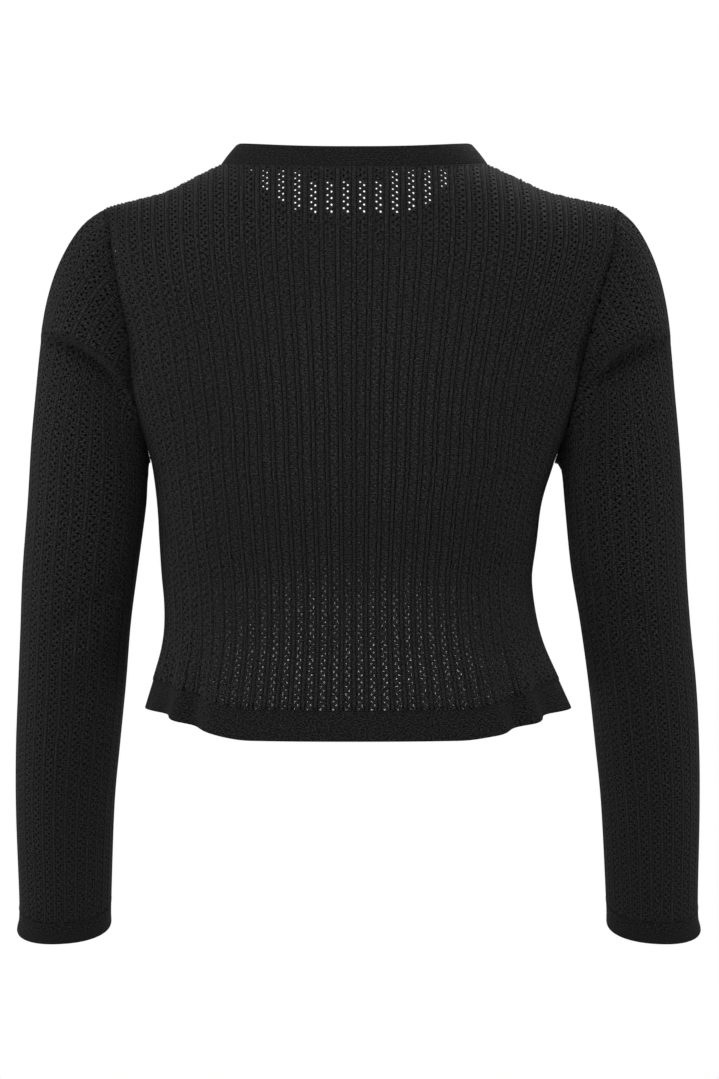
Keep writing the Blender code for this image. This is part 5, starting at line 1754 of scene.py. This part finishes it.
def sewing_tree():
    """Geometry Nodes group: a cord under a path and stitches along it."""
    sockets = (
        ("Path", "NodeSocketGeometry"),
        ("Stitch", "NodeSocketObject"),
        ("Spacing", "NodeSocketFloat"),
        ("Size", "NodeSocketFloat"),
        ("Cord radius", "NodeSocketFloat"),
        ("Cord depth", "NodeSocketFloat"),
        ("Stitch lift", "NodeSocketFloat"),
        ("Finish", "NodeSocketMaterial"),
    )
    result = (("Sewing", "NodeSocketGeometry"),)
    tree = new_group("sew_along_path", "GeometryNodeTree", sockets, result)
    add = tree.nodes.new
    link = tree.links.new
    given = add("NodeGroupInput").outputs

    def moved(geometry, amount, turn):
        """Geometry moved along its own facing direction by an amount."""
        out = add("GeometryNodeInputNamedAttribute")
        out.data_type = "FLOAT_VECTOR"
        out.inputs["Name"].default_value = "facing"
        far = add("ShaderNodeMath")
        far.operation = "MULTIPLY"
        link(amount, far.inputs[0])
        far.inputs[1].default_value = turn
        step = add("ShaderNodeVectorMath")
        step.operation = "SCALE"
        link(out.outputs["Attribute"], step.inputs[0])
        link(far.outputs[0], step.inputs["Scale"])
        shift = add("GeometryNodeSetPosition")
        link(geometry, shift.inputs["Geometry"])
        link(step.outputs[0], shift.inputs["Offset"])
        return shift.outputs[0], out.outputs["Attribute"]

    curve = add("GeometryNodeMeshToCurve")
    link(given["Path"], curve.inputs["Mesh"])
    even = add("GeometryNodeResampleCurve")
    even.mode = "LENGTH"
    link(curve.outputs["Curve"], even.inputs["Curve"])
    link(given["Spacing"], even.inputs["Length"])

    under, _ = moved(even.outputs["Curve"], given["Cord depth"], -1.0)
    round_line = add("GeometryNodeCurvePrimitiveCircle")
    round_line.inputs["Resolution"].default_value = 6
    link(given["Cord radius"], round_line.inputs["Radius"])
    cord = add("GeometryNodeCurveToMesh")
    link(under, cord.inputs["Curve"])
    link(round_line.outputs["Curve"], cord.inputs["Profile Curve"])
    cord.inputs["Fill Caps"].default_value = True

    over, out = moved(even.outputs["Curve"], given["Stitch lift"], 1.0)
    stand = add("FunctionNodeAlignRotationToVector")
    stand.axis = "Z"
    link(out, stand.inputs["Vector"])
    turn = add("FunctionNodeAlignRotationToVector")
    turn.axis = "X"
    turn.pivot_axis = "Z"
    link(stand.outputs["Rotation"], turn.inputs["Rotation"])
    link(add("GeometryNodeInputTangent").outputs["Tangent"], turn.inputs["Vector"])
    copies = add("GeometryNodeInstanceOnPoints")
    link(over, copies.inputs["Points"])
    one = add("GeometryNodeObjectInfo")
    one.inputs["As Instance"].default_value = True
    link(given["Stitch"], one.inputs["Object"])
    link(one.outputs["Geometry"], copies.inputs["Instance"])
    link(turn.outputs["Rotation"], copies.inputs["Rotation"])
    link(given["Size"], copies.inputs["Scale"])

    both = add("GeometryNodeJoinGeometry")
    link(cord.outputs["Mesh"], both.inputs[0])
    link(copies.outputs["Instances"], both.inputs[0])
    soft = add("GeometryNodeSetShadeSmooth")
    link(both.outputs[0], soft.inputs[0])
    whole = add("GeometryNodeRealizeInstances")
    link(soft.outputs[0], whole.inputs["Geometry"])
    finish = add("GeometryNodeSetMaterial")
    link(whole.outputs["Geometry"], finish.inputs["Geometry"])
    link(given["Finish"], finish.inputs["Material"])
    link(finish.outputs["Geometry"], add("NodeGroupOutput").inputs["Sewing"])
    return tree


sewing = sewing_tree()
print("sewing tree", len(sewing.nodes), "nodes")

# %% Seam paths


def half_line(half, ribs, heights):
    """Points and directions of a body half along ribs and heights."""
    ribs = np.asarray(ribs, float)
    heights = np.broadcast_to(np.asarray(heights, float), ribs.shape)
    return half.at(ribs, heights), half.normals(ribs, heights - 1.0)


def shoulder_line(hand):
    ribs = np.linspace(back.neck_rib, back.edge[-1][0], 30) * hand
    points = half_line(back, ribs, [back.top_height(r) for r in ribs])[0]
    return points, np.tile((0.0, 0.0, 1.0), (len(points), 1))


def sleeve_line(side, ring):
    shares = np.linspace(0, 1, HALF_RING_POINTS)
    points, out = sleeves[side].surface(np.array([ring, ring + 0.2]), shares)
    return points[0], out[0]


hem_ribs = np.linspace(-BODY_RIBS_HALF, BODY_RIBS_HALF, 160)
edge_heights = row_steps(-HEM_BAND_HEIGHT + 0.5, front.neck_height(FIRST_FRONT_RIB), 8.0)
edge_ribs = np.array([front_rib(h, FRONT_EDGE_X) for h in edge_heights])
seams = {
    "neck": [(foot, foot_out)],
    "hem": [half_line(back, hem_ribs, 0.0)],
    "shoulders": [shoulder_line(1), shoulder_line(-1)],
    "sides": [],
    "armholes": [sleeve_line("left", 0.0), sleeve_line("right", 0.0)],
    "cuffs": [sleeve_line("left", CUFF_RING), sleeve_line("right", CUFF_RING - 0.001)],
    "front_edges": [],
}
for hand in (1, -1):
    front_ribs = np.linspace(FIRST_FRONT_RIB, BODY_RIBS_HALF, 80) * hand
    seams["hem"].append(half_line(front, front_ribs, 0.0))
    seams["front_edges"].append(half_line(front, edge_ribs * hand, edge_heights))
    side_heights = np.linspace(-HEM_BAND_HEIGHT + 1.0, back.edge[0][1], 60)
    line, line_out = half_line(back, np.full(60, BODY_RIBS_HALF * hand), side_heights)
    line_out = line_out * (1, 0, 1)
    seams["sides"].append((line, line_out / np.linalg.norm(line_out, axis=1)[:, None]))

# %% Sewing


def sew(name, lines, spacing, size, cord_radius, cord_depth, lift, closed=False):
    """Runs the sewing tree along lines of points and directions."""
    spots, facing, edges = [], [], []
    for points, out in lines:
        first = len(spots)
        points = [Vector(p) * MM for p in points]
        spots += points[:-1] if closed else points
        facing += list(out[:-1] if closed else out)
        count = len(spots) - first
        steps = count if closed else count - 1
        edges += [(first + k, first + (k + 1) % count) for k in range(steps)]
    mesh = bpy.data.meshes.new(name + "_path")
    mesh.from_pydata(spots, edges, [])
    layer = mesh.attributes.new("facing", "FLOAT_VECTOR", "POINT")
    layer.data.foreach_set("vector", np.array(facing, np.float32).ravel())
    path = add_object(name + "_path", mesh)
    modifier = path.modifiers.new("sewing", "NODES")
    modifier.node_group = sewing
    settings = {
        "Stitch": stitch,
        "Spacing": spacing * MM,
        "Size": size * MM,
        "Cord radius": cord_radius * MM,
        "Cord depth": cord_depth * MM,
        "Stitch lift": lift * MM,
        "Finish": thread_black,
    }
    set_inputs(modifier, settings)
    return keep_result(name, path)


CORD_RADIUS = 1.4
NECK_CORD_RADIUS = 1.8
sewn = {}
for name, lines in seams.items():
    closed = name in ("armholes", "cuffs")
    cord = NECK_CORD_RADIUS if name == "neck" else CORD_RADIUS
    sewn[name] = sew(name + "_linking", lines, 3.0, 2.5, cord, 1.35, -0.1, closed)

# %% Buttonholes and the ends of the label
BUTTONHOLE_HALF = {"width": 0.7, "height": 6.6}
oval = np.linspace(0, 2 * math.pi, 41)
holes = []
for base, out, up in button_seats:
    wide = Vector((1, 0, 0)) * BUTTONHOLE_HALF["width"]
    high = up * BUTTONHOLE_HALF["height"]
    loop = [base - out * 0.25 + wide * math.sin(a) + high * math.cos(a) for a in oval]
    holes.append((np.array(loop), np.tile(out, (len(loop), 1))))
sewn["buttonholes"] = sew("buttonhole_stitching", holes, 0.8, 0.95, 0.22, 0.1, 0.05, closed=True)
label_ends = []
for column in (0, -1):
    side = np.array([row[column] for row in label_rows])
    facing = np.array([row[column] for row in label_out])
    label_ends.append((side + (0.8 if column == 0 else -0.8, 0, 0) - facing * 0.85, -facing))
sewn["label"] = sew("label_stitching", label_ends, 1.2, 1.0, 0.12, 0.0, 0.1)
bpy.data.objects.remove(stitch, do_unlink=True)
for name, piece in sewn.items():
    print(name, count_triangles(piece), "triangles")

# %% [markdown]
# ## Each piece on the body
# Every piece rides on the one body of the model and stands for its own solid. The size each
# sheet of cloth was cut to, flat and relaxed, before it was worn, is printed.

# %% Ride and replace
for name, piece in pieces.items():
    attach(piece, "root")
    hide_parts(name)
for name, piece in bands.items():
    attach(piece, "root")
    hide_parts(name)
for name, piece in buttons.items():
    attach(piece, "root")
    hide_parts(name)
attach(label, "root")
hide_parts("neck_label")
for piece in [*sewn.values(), *allowance_shade_sheets.values()]:
    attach(piece, "root")

# %% Cut sizes of the sheets
for name, piece in pieces.items():
    size = cut_sizes[name]
    print(name, "cut", [round(v, 3) for v in size], "area", round(cut_areas[name], 4))
hem_ribs_wide = BODY_RIBS_HALF - FIRST_FRONT_RIB
BAND_CUTS = {
    "hem_band_back": (2 * BODY_RIBS_HALF * RIB_FLAT, HEM_BAND_HEIGHT, "back_panel"),
    "hem_band_front_left": (hem_ribs_wide * RIB_FLAT, HEM_BAND_HEIGHT, "front_left"),
    "hem_band_front_right": (hem_ribs_wide * RIB_FLAT, HEM_BAND_HEIGHT, "front_right"),
    "cuff_left": (200.0, 20.0, "sleeve_left"),
    "cuff_right": (200.0, 20.0, "sleeve_right"),
    "neck_band": (neck_length * 0.95, 20.0, "back_panel"),
    "buttonhole_band_right": (2 * BAND_HALF_WIDTH, band_length, "front_right"),
    "button_band_left": (2 * BAND_HALF_WIDTH, band_length, "front_left"),
}
for name, (width, length, rest) in BAND_CUTS.items():
    print(name, "cut", round(width), "by", round(length), "mm")
for name, piece in allowance_shade_sheets.items():
    side = "sleeve_left" if "left" in name else "sleeve_right"
seen = [o for o in scene.objects if o.type == "MESH" and not o.hide_render]
print("all pieces", sum(count_triangles(o) for o in seen), "triangles")
